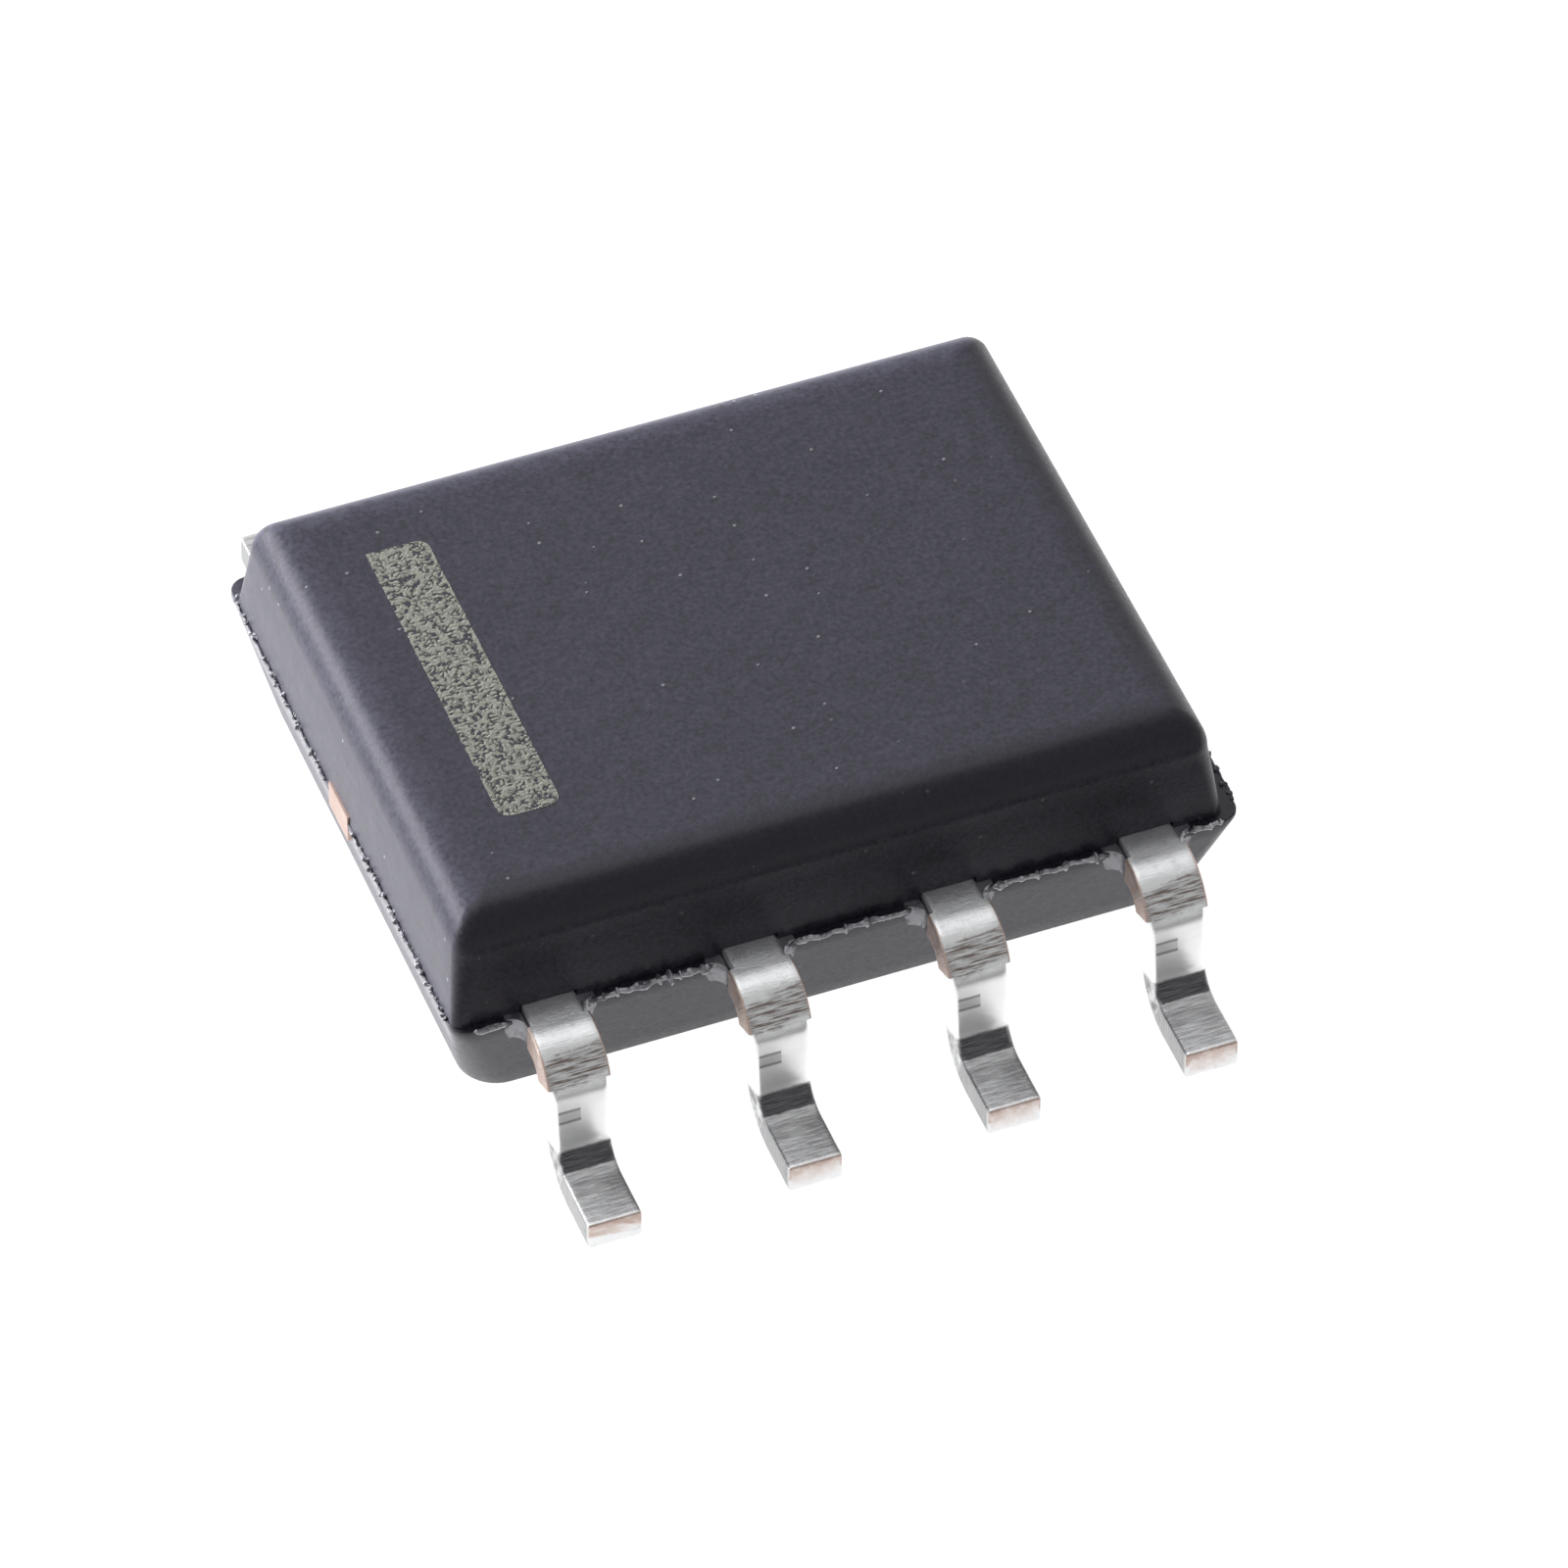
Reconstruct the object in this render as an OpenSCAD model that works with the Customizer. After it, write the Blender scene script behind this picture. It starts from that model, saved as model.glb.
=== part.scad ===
// Eight-lead small-outline chip package, gull-wing leads, millimetres.
// The origin is on the seating plane, under the middle of the body.
// +X runs along the body from pin 1 to pin 4, -Y is the row of pins 1 to 4, +Z is up.

/* [Body] */
// Length of the upper half of the moulding at the parting plane
body_l = 4.92; // [4.8:0.01:5.1]
// Width of the upper half of the moulding at the parting plane
body_w = 3.86; // [3.75:0.01:4.0]
// Height of the top face above the seating plane
total_h = 1.725; // [1.65:0.005:1.8]
// Clearance under the moulding
standoff = 0.16; // [0.1:0.01:0.25]
// Height of the parting plane above the seating plane
parting_z = 0.955; // [0.9:0.005:1]
// Inward slope of the upper walls along the lead rows, in degrees from upright
draft_upper_side = 7; // [4:0.5:12]
// Inward slope of the upper walls at the two ends
draft_upper_end = 6.5; // [4:0.5:12]
// Inward slope of the lower walls along the lead rows
draft_lower_side = 16.5; // [7:0.5:18]
// Inward slope of the lower walls at the two ends
draft_lower_end = 13; // [7:0.5:18]
// Width of the rounded edge round the top face, seen from above
top_edge_w = 0.235; // [0.15:0.005:0.3]
// Height of the rounded edge, from the drafted wall up to the top face
top_edge_h = 0.28; // [0.15:0.01:0.35]
// Plan radius of the upper corners at the parting plane
wall_corner_r = 0.065; // [0.05:0.005:0.15]
// Plan radius of the upper corners where the rounded edge begins
edge_corner_r = 0.12; // [0.08:0.01:0.2]
// Plan radius of the corners of the flat top
top_corner_r = 0.03; // [0.02:0.005:0.08]
// Plan radius of the corners of the bottom face
bottom_corner_r = 0.25; // [0.15:0.01:0.35]
// Mismatch of the two mould halves: how far the upper half sits towards +X
mould_shift_x = -0.045; // [-0.08:0.005:0.08]
// How far the upper half sits towards +Y
mould_shift_y = -0.055; // [-0.08:0.005:0.08]

/* [Parting ledge] */
// How far the lower half stands out along the lead sides
ledge_side = 0.1; // [0.08:0.005:0.13]
// How far the lower half stands out at the two ends
ledge_end = 0.055; // [0.02:0.005:0.1]
// Thickness of the upright rim under the parting plane
ledge_t = 0.03; // [0.01:0.005:0.05]
// Plan radius of the ledge corners
ledge_corner_r = 0.12; // [0.05:0.01:0.15]
// Reach along the ledge of the resin web in each lead corner
web_reach = 0.12; // [0.06:0.01:0.2]

/* [Leads] */
// Spacing of the leads along the body
lead_pitch = 1.27; // [1.2:0.01:1.3]
// Overall width across the two rows of lead tips
lead_span = 6.17; // [6:0.01:6.3]
// Width of a lead
lead_w = 0.34; // [0.28:0.01:0.4]
// Thickness of the lead frame
lead_t = 0.2; // [0.15:0.005:0.22]
// Height of the lead frame's top face above the parting plane
lead_rise = 0.05; // [0:0.005:0.1]
// Inside radius of the shoulder bend
shoulder_r = 0.14; // [0.1:0.01:0.18]
// Inside radius of the bend above the foot
toe_r = 0.18; // [0.12:0.01:0.22]
// Outward lean of the riser, in degrees from upright
riser_tilt = 5; // [2:0.5:10]
// Length of the flat foot
foot_l = 0.345; // [0.3:0.005:0.4]
// Width over the stubs left by the trimmed dam bar
stub_w = 0.4; // [0.36:0.01:0.48]
// Length of stub on the flat, before the shoulder bend
stub_flat_l = 0.04; // [0.01:0.005:0.06]
// Angle above level at which the stub ends on the shoulder bend
stub_end_a = 22; // [10:1:45]

/* [Lead frame inside] */
// Length of the die paddle
paddle_l = 2.5; // [2.2:0.02:2.7]
// Width of the die paddle
paddle_w = 2.1; // [1.8:0.02:2.3]
// Depth of the paddle below the lead plane
paddle_drop = 0.15; // [0.05:0.01:0.2]
// Width of the tie bars that held the paddle in the strip
tie_w = 0.33; // [0.2:0.01:0.4]
// Length over which a tie bar slopes down to the paddle
tie_slope_l = 0.3; // [0.2:0.01:0.4]
// Gap punched between neighbouring pieces of the lead frame
frame_gap = 0.15; // [0.1:0.01:0.2]
// Resin between the outside of the body and the wide part of a lead
frame_cover = 0.25; // [0.2:0.01:0.3]
// Width of the inner end of a middle lead
finger_w = 0.8; // [0.6:0.01:0.9]
// Bore of the resin lock hole in each lead
lock_d = 0.2; // [0.12:0.01:0.22]
// Distance of the lock hole's centre from the outer edge of the wide part
lock_inset = 0.16; // [0.14:0.01:0.18]

/* [Die and wires] */
// Length of the silicon die
die_l = 1.6; // [1.3:0.02:1.9]
// Width of the silicon die
die_w = 1.3; // [1.1:0.02:1.6]
// Thickness of the silicon die
die_t = 0.28; // [0.2:0.01:0.32]
// Thickness of the adhesive under the die
attach_t = 0.025; // [0.015:0.005:0.04]
// Width of adhesive squeezed out round the die
attach_margin = 0.04; // [0.02:0.01:0.08]
// Diameter of a bond wire
wire_d = 0.03; // [0.024:0.002:0.036]
// Straight rise of a wire above its ball
loop_h = 0.09; // [0.06:0.01:0.14]
// Centre-line radius of the bend at the top of a wire
loop_r = 0.05; // [0.04:0.005:0.07]
// Diameter of the ball bond on the die
ball_d = 0.08; // [0.06:0.005:0.09]
// Height of the ball bond
ball_h = 0.025; // [0.015:0.005:0.035]
// Diameter of the flattened stitch bond on a lead
stitch_d = 0.08; // [0.06:0.005:0.1]
// Height of the stitch bond
stitch_h = 0.012; // [0.008:0.002:0.02]
// Distance of a ball bond from the edge of the die
pad_inset = 0.1; // [0.06:0.01:0.15]
// Distance of a stitch bond from the inner end of its lead
stitch_inset = 0.13; // [0.1:0.01:0.18]

/* [Marking] */
// Width of the pin 1 bar on the top face
mark_w = 0.385; // [0.25:0.005:0.45]
// Length of the pin 1 bar
mark_l = 2.36; // [1.8:0.02:2.5]
// Distance of the bar from the flat top's pin 1 end
mark_inset = 0.33; // [0.1:0.01:0.5]
// How far the bar sits towards +Y from the middle of the body
mark_offset = 0.03; // [-0.1:0.01:0.1]
// Radius of the bar's two corners away from the pin 1 end
mark_corner_r = 0.08; // [0.04:0.01:0.12]
// Depth of the laser-altered skin
mark_t = 0.015; // [0.01:0.005:0.03]

/* [Underside] */
// Diameter of the ejector pin's witness mark
ejector_d = 1; // [0.8:0.05:1.4]
// Depth of the witness mark
ejector_depth = 0.02; // [0.01:0.005:0.04]

/* [Hidden] */
$fn = 48;
hull_fn = 32;
edge_steps = 6;
wire_sides = 10;
loop_steps = 6;
row_pins = 4;
all_pins = 2 * row_pins;
// Thickness of the thin plates that the drafted halves are spanned from
skin = 0.002;

// Heights of the lead frame, the paddle and the die
frame_top = parting_z + lead_rise;
frame_bottom = frame_top - lead_t;
paddle_bottom = frame_bottom - paddle_drop;
paddle_top = paddle_bottom + lead_t;
attach_top = paddle_top + attach_t;
die_top = attach_top + die_t;

// Outlines of the moulding at the parting plane, the top edge and the bottom face
ledge_l = body_l + 2 * ledge_end;
ledge_w = body_w + 2 * ledge_side;
upper_h = total_h - parting_z;
lower_h = parting_z - ledge_t - standoff;
bottom_l = ledge_l - 2 * lower_h * tan(draft_lower_end);
bottom_w = ledge_w - 2 * lower_h * tan(draft_lower_side);
wall_h = upper_h - top_edge_h;
wall_top_l = body_l - 2 * wall_h * tan(draft_upper_end);
wall_top_w = body_w - 2 * wall_h * tan(draft_upper_side);
flat_l = wall_top_l - 2 * top_edge_w;

// Side view of a lead: the two bend centres, measured outwards from the body's middle plane
shoulder_out_r = shoulder_r + lead_t;
toe_s = lead_span / 2 - foot_l;
toe_z = lead_t + toe_r;
shoulder_z = frame_bottom - shoulder_r;
bend_drop = shoulder_z - toe_z;
bend_gap = (shoulder_out_r + toe_r + bend_drop * sin(riser_tilt)) / cos(riser_tilt);
shoulder_s = toe_s - bend_gap;
riser_l = bend_gap * sin(riser_tilt) + bend_drop * cos(riser_tilt);
stub_start = shoulder_s - stub_flat_l;

// Plan of the inner ends of the leads
finger_out = body_w / 2 - frame_cover;
finger_in = paddle_w / 2 + frame_gap;
corner_finger_in = tie_w / 2 + frame_gap;
corner_finger_x1 = paddle_l / 2 + frame_gap;
corner_finger_x2 = body_l / 2 - frame_cover;

// Pads of the corner leads lie along the ends of the die, those of the middle leads along its sides
end_pad_y = die_w / 4;
side_pad_x = die_l / 6;

function pin_x(k) = (k - (row_pins + 1) / 2) * lead_pitch;
function is_corner(k) = k == 1 || k == row_pins;
function outward(k) = pin_x(k) < 0 ? -1 : 1;

// The lock hole lies in the middle of the wide part
function lock_x(k) = is_corner(k)
    ? outward(k) * (corner_finger_x1 + corner_finger_x2) / 2
    : pin_x(k);

// Ball bond on the die and stitch bond on the lead, for pin k of the front row
function ball_at(k) = is_corner(k)
    ? [outward(k) * (die_l / 2 - pad_inset), -end_pad_y]
    : [outward(k) * side_pad_x, -die_w / 2 + pad_inset];
function stitch_at(k) = is_corner(k)
    ? [outward(k) * (corner_finger_x1 + stitch_inset), -(corner_finger_in + finger_out) / 2]
    : [pin_x(k), -finger_in - stitch_inset];

// Rounded rectangle centred on the origin
module plate(l, w, r) {
    x = l / 2 - r;
    y = w / 2 - r;
    square([2 * x, w], center = true);
    square([l, 2 * y], center = true);
    for (sx = [-1, 1], sy = [-1, 1])
        translate([sx * x, sy * y]) circle(r);
}

// Slice of a ring between two radii and two angles less than half a turn apart
module ring_slice(r_in, r_out, a1, a2) {
    reach = 2 * r_out;
    am = (a1 + a2) / 2;
    intersection() {
        difference() {
            circle(r_out);
            circle(r_in);
        }
        polygon([
            [0, 0],
            reach * [cos(a1), sin(a1)],
            reach * [cos(am), sin(am)],
            reach * [cos(a2), sin(a2)]]);
    }
}

// Stands a side view drawn as (outwards, up) in the front row, w wide along X
module side_extrude(w) {
    rotate([90, 0, -90]) linear_extrude(w, center = true) children();
}

// Rounded plate whose top face lies at height z
module level(z, l, w, r) {
    translate([0, 0, z - skin])
        linear_extrude(skin) plate(l, w, r, $fn = hull_fn);
}

// Drafted upper half. Its top edge is a quarter of an ellipse, and its corners sharpen upwards.
module upper_half() {
    translate([mould_shift_x, mould_shift_y]) hull() {
        level(parting_z, body_l, body_w, wall_corner_r);
        for (i = [0 : edge_steps]) {
            a = 90 * i / edge_steps;
            inset = top_edge_w * (1 - cos(a));
            level(
                parting_z + wall_h + top_edge_h * sin(a),
                wall_top_l - 2 * inset,
                wall_top_w - 2 * inset,
                top_corner_r + (edge_corner_r - top_corner_r) * cos(a));
        }
    }
}

// Drafted lower half, down to the bottom face
module lower_half() {
    hull() {
        translate([0, 0, parting_z - ledge_t])
            linear_extrude(ledge_t) plate(ledge_l, ledge_w, ledge_corner_r, $fn = hull_fn);
        level(standoff + skin, bottom_l, bottom_w, bottom_corner_r);
    }
}

// Resin left in the corner between the ledge and one side of a lead, up to the dam bar stub
module web() {
    inner = body_w / 2;
    outer = min(stub_start, ledge_w / 2 + web_reach);
    rise = outer - ledge_w / 2;
    translate([0, 0, frame_bottom])
        linear_extrude(parting_z - frame_bottom)
            difference() {
                translate([lead_w / 2, -outer]) square([web_reach, outer - inner]);
                translate([lead_w / 2 + web_reach, -outer]) circle(rise);
            }
}

module mould_body() {
    color("#44434e")
        difference() {
            union() {
                upper_half();
                lower_half();
                for (k = [1 : row_pins], side = [0, 1], turn = [0, 180])
                    rotate(turn) translate([pin_x(k), 0]) mirror([side, 0]) web();
            }
            for (k = [1 : all_pins]) {
                lead(k);
                bond_wire(k);
            }
            die_paddle();
            die_attach();
            die();
            pin_1_mark();
            translate([0, 0, standoff - ejector_depth])
                cylinder(h = 2 * ejector_depth, d = ejector_d);
        }
}

// Side view of the formed strip, from the wide inner end to the tip of the foot
module lead_side() {
    translate([finger_out, frame_bottom]) square([shoulder_s - finger_out, lead_t]);
    translate([shoulder_s, shoulder_z]) {
        ring_slice(shoulder_r, shoulder_out_r, riser_tilt, 90);
        rotate(riser_tilt) translate([shoulder_r, -riser_l]) square([lead_t, riser_l]);
    }
    translate([toe_s, toe_z]) ring_slice(toe_r, toe_r + lead_t, 180 + riser_tilt, 270);
    translate([toe_s, 0]) square([foot_l, lead_t]);
}

// Side view of the trimmed dam bar, which was cut off after the leads were plated
module stub_side() {
    translate([stub_start, frame_bottom]) square([stub_flat_l, lead_t]);
    translate([shoulder_s, shoulder_z])
        ring_slice(shoulder_r, shoulder_out_r, stub_end_a, 90);
}

// Plan of the wide inner end: beside the paddle's end on a corner lead, along its side otherwise
module finger(k) {
    difference() {
        if (is_corner(k)) {
            x1 = outward(k) * corner_finger_x1;
            x2 = outward(k) * corner_finger_x2;
            translate([min(x1, x2), -finger_out])
                square([abs(x2 - x1), finger_out - corner_finger_in]);
        } else {
            translate([pin_x(k) - finger_w / 2, -finger_out])
                square([finger_w, finger_out - finger_in]);
        }
        translate([lock_x(k), lock_inset - finger_out]) circle(d = lock_d);
    }
}

module front_lead(k) {
    translate([pin_x(k), 0]) {
        side_extrude(lead_w) lead_side();
        side_extrude(stub_w) stub_side();
    }
    translate([0, 0, frame_bottom]) linear_extrude(lead_t) finger(k);
}

// Pins are numbered along the front row and back along the other
module lead(k) {
    color("#b9b9bb")
        if (k <= row_pins) front_lead(k);
        else rotate(180) front_lead(k - row_pins);
}

// Stamped paddle with the two tie bars that end in cut copper at the ends of the body
module die_paddle() {
    color("#b87a5c") {
        translate([-paddle_l / 2, -paddle_w / 2, paddle_bottom])
            cube([paddle_l, paddle_w, lead_t]);
        for (turn = [0, 180])
            rotate([90, 0, turn]) linear_extrude(tie_w, center = true)
                polygon([
                    [paddle_l / 2, paddle_bottom],
                    [paddle_l / 2 + tie_slope_l, frame_bottom],
                    [ledge_l / 2, frame_bottom],
                    [ledge_l / 2, frame_top],
                    [paddle_l / 2 + tie_slope_l, frame_top],
                    [paddle_l / 2, paddle_top]]);
    }
}

module die_attach() {
    l = die_l + 2 * attach_margin;
    w = die_w + 2 * attach_margin;
    color("#8c8f94")
        translate([-l / 2, -w / 2, paddle_top]) cube([l, w, attach_t]);
}

module die() {
    color("#5a5f70")
        translate([-die_l / 2, -die_w / 2, attach_top]) cube([die_l, die_w, die_t]);
}

// Corner points of a round tube along a path that lies in one upright plane.
// The ring at each point stands square to the mean of the directions before and after it.
function unit(v) = v / norm(v);
function path_dir(path, i) =
    unit((i > 0 ? unit(path[i] - path[i - 1]) : [0, 0, 0])
        + (i < len(path) - 1 ? unit(path[i + 1] - path[i]) : [0, 0, 0]));
function tube_ring(path, i, side, r) =
    let (out = cross(path_dir(path, i), side))
    [for (j = [0 : wire_sides - 1])
        path[i] + r * (cos(360 * j / wire_sides) * side + sin(360 * j / wire_sides) * out)];

module tube(path, side, r) {
    n = wire_sides;
    last = len(path) - 1;
    rings = [for (i = [0 : last]) each tube_ring(path, i, side, r)];
    walls = [for (i = [0 : last - 1], j = [0 : n - 1])
        [(i + 1) * n + j, (i + 1) * n + (j + 1) % n, i * n + (j + 1) % n, i * n + j]];
    caps = [[for (j = [0 : n - 1]) j], [for (j = [n - 1 : -1 : 0]) last * n + j]];
    polyhedron(points = rings, faces = concat(walls, caps));
}

// Centre line of a wire: up from its ball, over a bend and straight down to its stitch.
// The straight run leaves the bend where a line from the stitch touches it.
function wire_path(ball, stitch) =
    let (
        run = unit(stitch - ball),
        bend_z = die_top + loop_h,
        end_z = frame_top + wire_d / 2,
        reach = norm(stitch - ball) - loop_r,
        slope = atan2(bend_z - end_z, reach) + asin(loop_r / norm([reach, bend_z - end_z])),
        bend = [for (i = [0 : loop_steps])
            let (a = 180 - (90 + slope) * i / loop_steps)
            loop_r * [1 + cos(a), sin(a)]])
    concat(
        [[ball[0], ball[1], die_top]],
        [for (p = bend) [ball[0] + p[0] * run[0], ball[1] + p[0] * run[1], bend_z + p[1]]],
        [[stitch[0], stitch[1], end_z]]);

// One wire with its ball bond on the die and its stitch bond on the lead
module front_wire(k) {
    ball = ball_at(k);
    stitch = stitch_at(k);
    run = unit(stitch - ball);
    tube(wire_path(ball, stitch), [-run[1], run[0], 0], wire_d / 2);
    translate([ball[0], ball[1], die_top]) cylinder(h = ball_h, d = ball_d);
    translate([stitch[0], stitch[1], frame_top]) cylinder(h = stitch_h, d = stitch_d);
}

module bond_wire(k) {
    color("#d9a441")
        if (k <= row_pins) front_wire(k);
        else rotate(180) front_wire(k - row_pins);
}

// Pale bar beside pin 1, flush with the top face
module pin_1_mark() {
    square_end = mould_shift_x - flat_l / 2 + mark_inset;
    round_x = mark_w - mark_corner_r;
    round_y = mark_l / 2 - mark_corner_r;
    color("#83877f")
        translate([square_end, mark_offset, total_h - mark_t])
            linear_extrude(mark_t) {
                translate([0, -mark_l / 2]) square([round_x, mark_l]);
                translate([0, -round_y]) square([mark_w, 2 * round_y]);
                for (s = [-1, 1])
                    translate([round_x, s * round_y]) circle(mark_corner_r);
            }
}

mould_body();
lead(1);  // lead_1
lead(2);  // lead_2
lead(3);  // lead_3
lead(4);  // lead_4
lead(5);  // lead_5
lead(6);  // lead_6
lead(7);  // lead_7
lead(8);  // lead_8
die_paddle();
die_attach();
die();
bond_wire(1);  // bond_wire_1
bond_wire(2);  // bond_wire_2
bond_wire(3);  // bond_wire_3
bond_wire(4);  // bond_wire_4
bond_wire(5);  // bond_wire_5
bond_wire(6);  // bond_wire_6
bond_wire(7);  // bond_wire_7
bond_wire(8);  // bond_wire_8
pin_1_mark();
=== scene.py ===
"""Dresses the frame of an eight-lead chip package: resin, plated leads, flash and pin 1 bar."""

import math
import random
from types import SimpleNamespace

import bpy
from mathutils import Matrix, Vector, noise


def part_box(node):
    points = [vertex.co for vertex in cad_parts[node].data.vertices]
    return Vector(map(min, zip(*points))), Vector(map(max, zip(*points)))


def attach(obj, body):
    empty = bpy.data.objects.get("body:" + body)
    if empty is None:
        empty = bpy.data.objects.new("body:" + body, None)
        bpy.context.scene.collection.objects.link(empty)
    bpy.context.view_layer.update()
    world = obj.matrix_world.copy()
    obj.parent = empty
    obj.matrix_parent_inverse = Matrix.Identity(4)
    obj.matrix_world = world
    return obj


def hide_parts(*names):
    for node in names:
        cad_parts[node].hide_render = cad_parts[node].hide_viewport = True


bl_info = {
    "name": "Small-outline chip package",
    "version": (1, 0, 0),
    "blender": (4, 5, 0),
    "location": "3D View > Sidebar > Chip",
    "description": "Gives a packed chip package its moulded, plated and marked surfaces",
    "category": "Object",
}

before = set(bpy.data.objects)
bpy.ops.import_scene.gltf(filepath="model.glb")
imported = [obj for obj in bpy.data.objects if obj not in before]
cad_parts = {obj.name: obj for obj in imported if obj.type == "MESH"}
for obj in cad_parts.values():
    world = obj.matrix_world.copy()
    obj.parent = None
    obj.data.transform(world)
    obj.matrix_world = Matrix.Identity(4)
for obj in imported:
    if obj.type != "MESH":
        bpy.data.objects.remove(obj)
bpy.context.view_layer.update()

MM = 0.001
SMOOTH_BELOW = math.radians(32)
LOWER_SHADE = 0.7, 0.8  # mm above the underside, between which the paler paint of the lower half ends; on the end walls that paint is a painted sheen
WALL_STEPS = 6  # steps up each straight wall of the moulding
UNDERSIDE_INSETS = 0.3, 0.05  # mm, inner rings of the flat underside
TOP_INSET = 0.3  # mm from where the top is level in to its inner ring
RIM_LIP = 0.006  # mm, bevel of the rim's upper edge
POCKET_DEPTH = 0.12  # mm, how deep the slits round a lead and a tie bar go
TIE_HALF_W = 0.165  # mm, half the width of a tie bar's cut end
WEB_SUNK = 0.06  # mm, how far the resin webs reach into the moulding
WEB_CLEAR = 0.01  # mm from a web to the trimmed dam bar
WEB_RISE = 0.012  # mm, top of the webs above the parting plane
FLASH_SEED = 7
FLASH_SUNK = 0.004  # mm, middle of the flash below the parting plane
BEAD_STEP = 0.009  # mm, about the spacing of the rings of a bead of flash
SIDE_FLASH_H, END_FLASH_H = 0.03, 0.016  # mm
BEADS_FROM_Y, CRUMBS_FROM_Y = 0.22, 0.24  # mm, kept clear of the tie bar's cut end
END_CRUMBS, LEAD_CRUMBS = 110, 4
END_CRUMB_R, LEAD_CRUMB_R = (0.006, 0.02), (0.006, 0.014)  # mm
MARK_CORNER_R = 0.08  # mm
MARK_PROUD, MARK_SKIN = 0.002, 0.012  # mm, relief of the bar and its thickness
STATION_STEP = 0.011  # mm, about the spacing of the rings of a lead
STUB_STEP = 0.001  # mm, half the length over which a lead widens to its stub
FINGER_OVERLAP = 0.004  # mm by which the inner end of a lead overlaps its strip
SILICON_CELL = 0.09  # mm, half the pitch of the grid on the die
FLOOR_Z = -0.003  # mm, just under the feet
FLOOR_REACH = 150.0  # mm
FLAG_SOFT, FLAG_FADE = 0.1, 1.0  # mm, margins at the near and far edge of the dark stretch
FLAG_DEPTH = 0.96  # share of the floor's shine that the dark stretch lacks
FLOOR_SHINE = 1.12  # brightness of the floor as gloss mirrors it
FILL = 0.03  # ambient light from every side
BEHIND = -0.2, 0.3  # Y of a direction, from front to behind
LAMP_DISTANCE = 0.07  # metres
LAMPS = (
    # name, direction, width and height in metres, seen by gloss (True) or by matte surfaces
    ("key", (-0.42, 0.88, 0.16), 0.06, 0.02, False),
    ("sheen", (-0.75, 0.6, 0.3), 0.06, 0.036, True),
    ("top", (-0.1, 0.35, 1.0), 0.05, 0.05, True),
)
ROW_PINS = 4
PINS = range(1, 2 * ROW_PINS + 1)


def in_mm(corner):
    """A corner of a box from the frame, in millimetres."""
    return Vector(corner) / MM


MOULD_LOW, MOULD_HIGH = (in_mm(c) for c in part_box("mould_body"))
LEAD_LOW, LEAD_HIGH = (in_mm(c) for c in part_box("lead_2"))
MARK_LOW, MARK_HIGH = (in_mm(c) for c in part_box("pin_1_mark"))
TIE_HIGH = in_mm(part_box("die_paddle")[1])


# ---------------------------------------------------------------- settings


def length(label, text, millimetres):
    """A length that a user can change, kept in metres."""
    return bpy.props.FloatProperty(
        name=label, description=text, default=millimetres * MM, precision=6, unit="LENGTH"
    )


def angle(label, text, degrees):
    """An angle that a user can change."""
    return bpy.props.FloatProperty(
        name=label, description=text, default=math.radians(degrees), unit="ROTATION"
    )


def amount(label, text, value):
    """A plain number that a user can change."""
    return bpy.props.FloatProperty(name=label, description=text, default=value, min=0.0)


def colour(label, text, rgb):
    """A colour that a user can change, given as it looks on a screen."""
    return bpy.props.FloatVectorProperty(
        name=label, description=text, default=tuple(screen(c) for c in rgb), subtype="COLOR"
    )


def screen(level):
    """Linear value of a level from 0 to 255 on a screen."""
    share = level / 255
    return share / 12.92 if share <= 0.04045 else ((share + 0.055) / 1.055) ** 2.4


def measures(group):
    """The values of a property group, with its lengths in millimetres."""
    values = {}
    for key in type(group).__annotations__:
        scale = MM if group.bl_rna.properties[key].unit == "LENGTH" else 1
        values[key] = getattr(group, key) / scale
    return SimpleNamespace(**values)


class ChipMouldSizes(bpy.types.PropertyGroup):
    """Sizes of the two halves of the moulding."""

    body_l: length("Body length", "Upper half at the parting plane", 4.92)
    body_w: length("Body width", "Upper half at the parting plane", 3.86)
    parting_z: length("Parting height", "Parting plane above the board", 0.955)
    draft_end: angle("End draft", "Slope of the upper end walls", 6.5)
    draft_side: angle("Side draft", "Slope of the upper side walls", 7)
    edge_w: length("Edge width", "Rounded top edge from above", 0.235)
    edge_h: length("Edge height", "Rounded top edge from the side", 0.28)
    camber: angle("Camber", "Fall of the top face where the rounded edge begins", 8)
    camber_w: length("Camber reach", "From the wall in to where the top face is level", 0.33)
    foot_corner_r: length("Foot corner", "Upper corners at the parting plane", 0.065)
    edge_corner_r: length("Edge corner", "Upper corners below the rounded edge", 0.12)
    top_corner_r: length("Top corner", "Corners of the flat top", 0.03)
    shift_x: length("Shift along X", "Upper half against the lower one", -0.045)
    shift_y: length("Shift along Y", "Upper half against the lower one", -0.055)
    ledge_w: length("Ledge width", "Lower half at the parting plane", 4.06)
    ledge_t: length("Rim height", "Upright rim under the parting plane", 0.03)
    ledge_corner_r: length("Rim corner", "Corners of the rim", 0.12)
    lower_draft_end: angle("Lower end draft", "Slope of the lower end walls", 13)
    lower_draft_side: angle("Lower side draft", "Slope of the lower side walls", 16.5)
    bottom_corner_r: length("Bottom corner", "Corners of the underside", 0.25)
    bottom_edge_r: length("Bottom edge", "Rounding round the underside", 0.03)
    ejector_d: length("Witness mark", "Diameter of the ejector pin's mark", 1.0)
    ejector_depth: length("Witness depth", "Depth of the ejector pin's mark", 0.02)
    web_reach: length("Web reach", "Resin web along the ledge", 0.12)
    slit: length("Slit", "Gap between a lead and the resin", 0.012)


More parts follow.
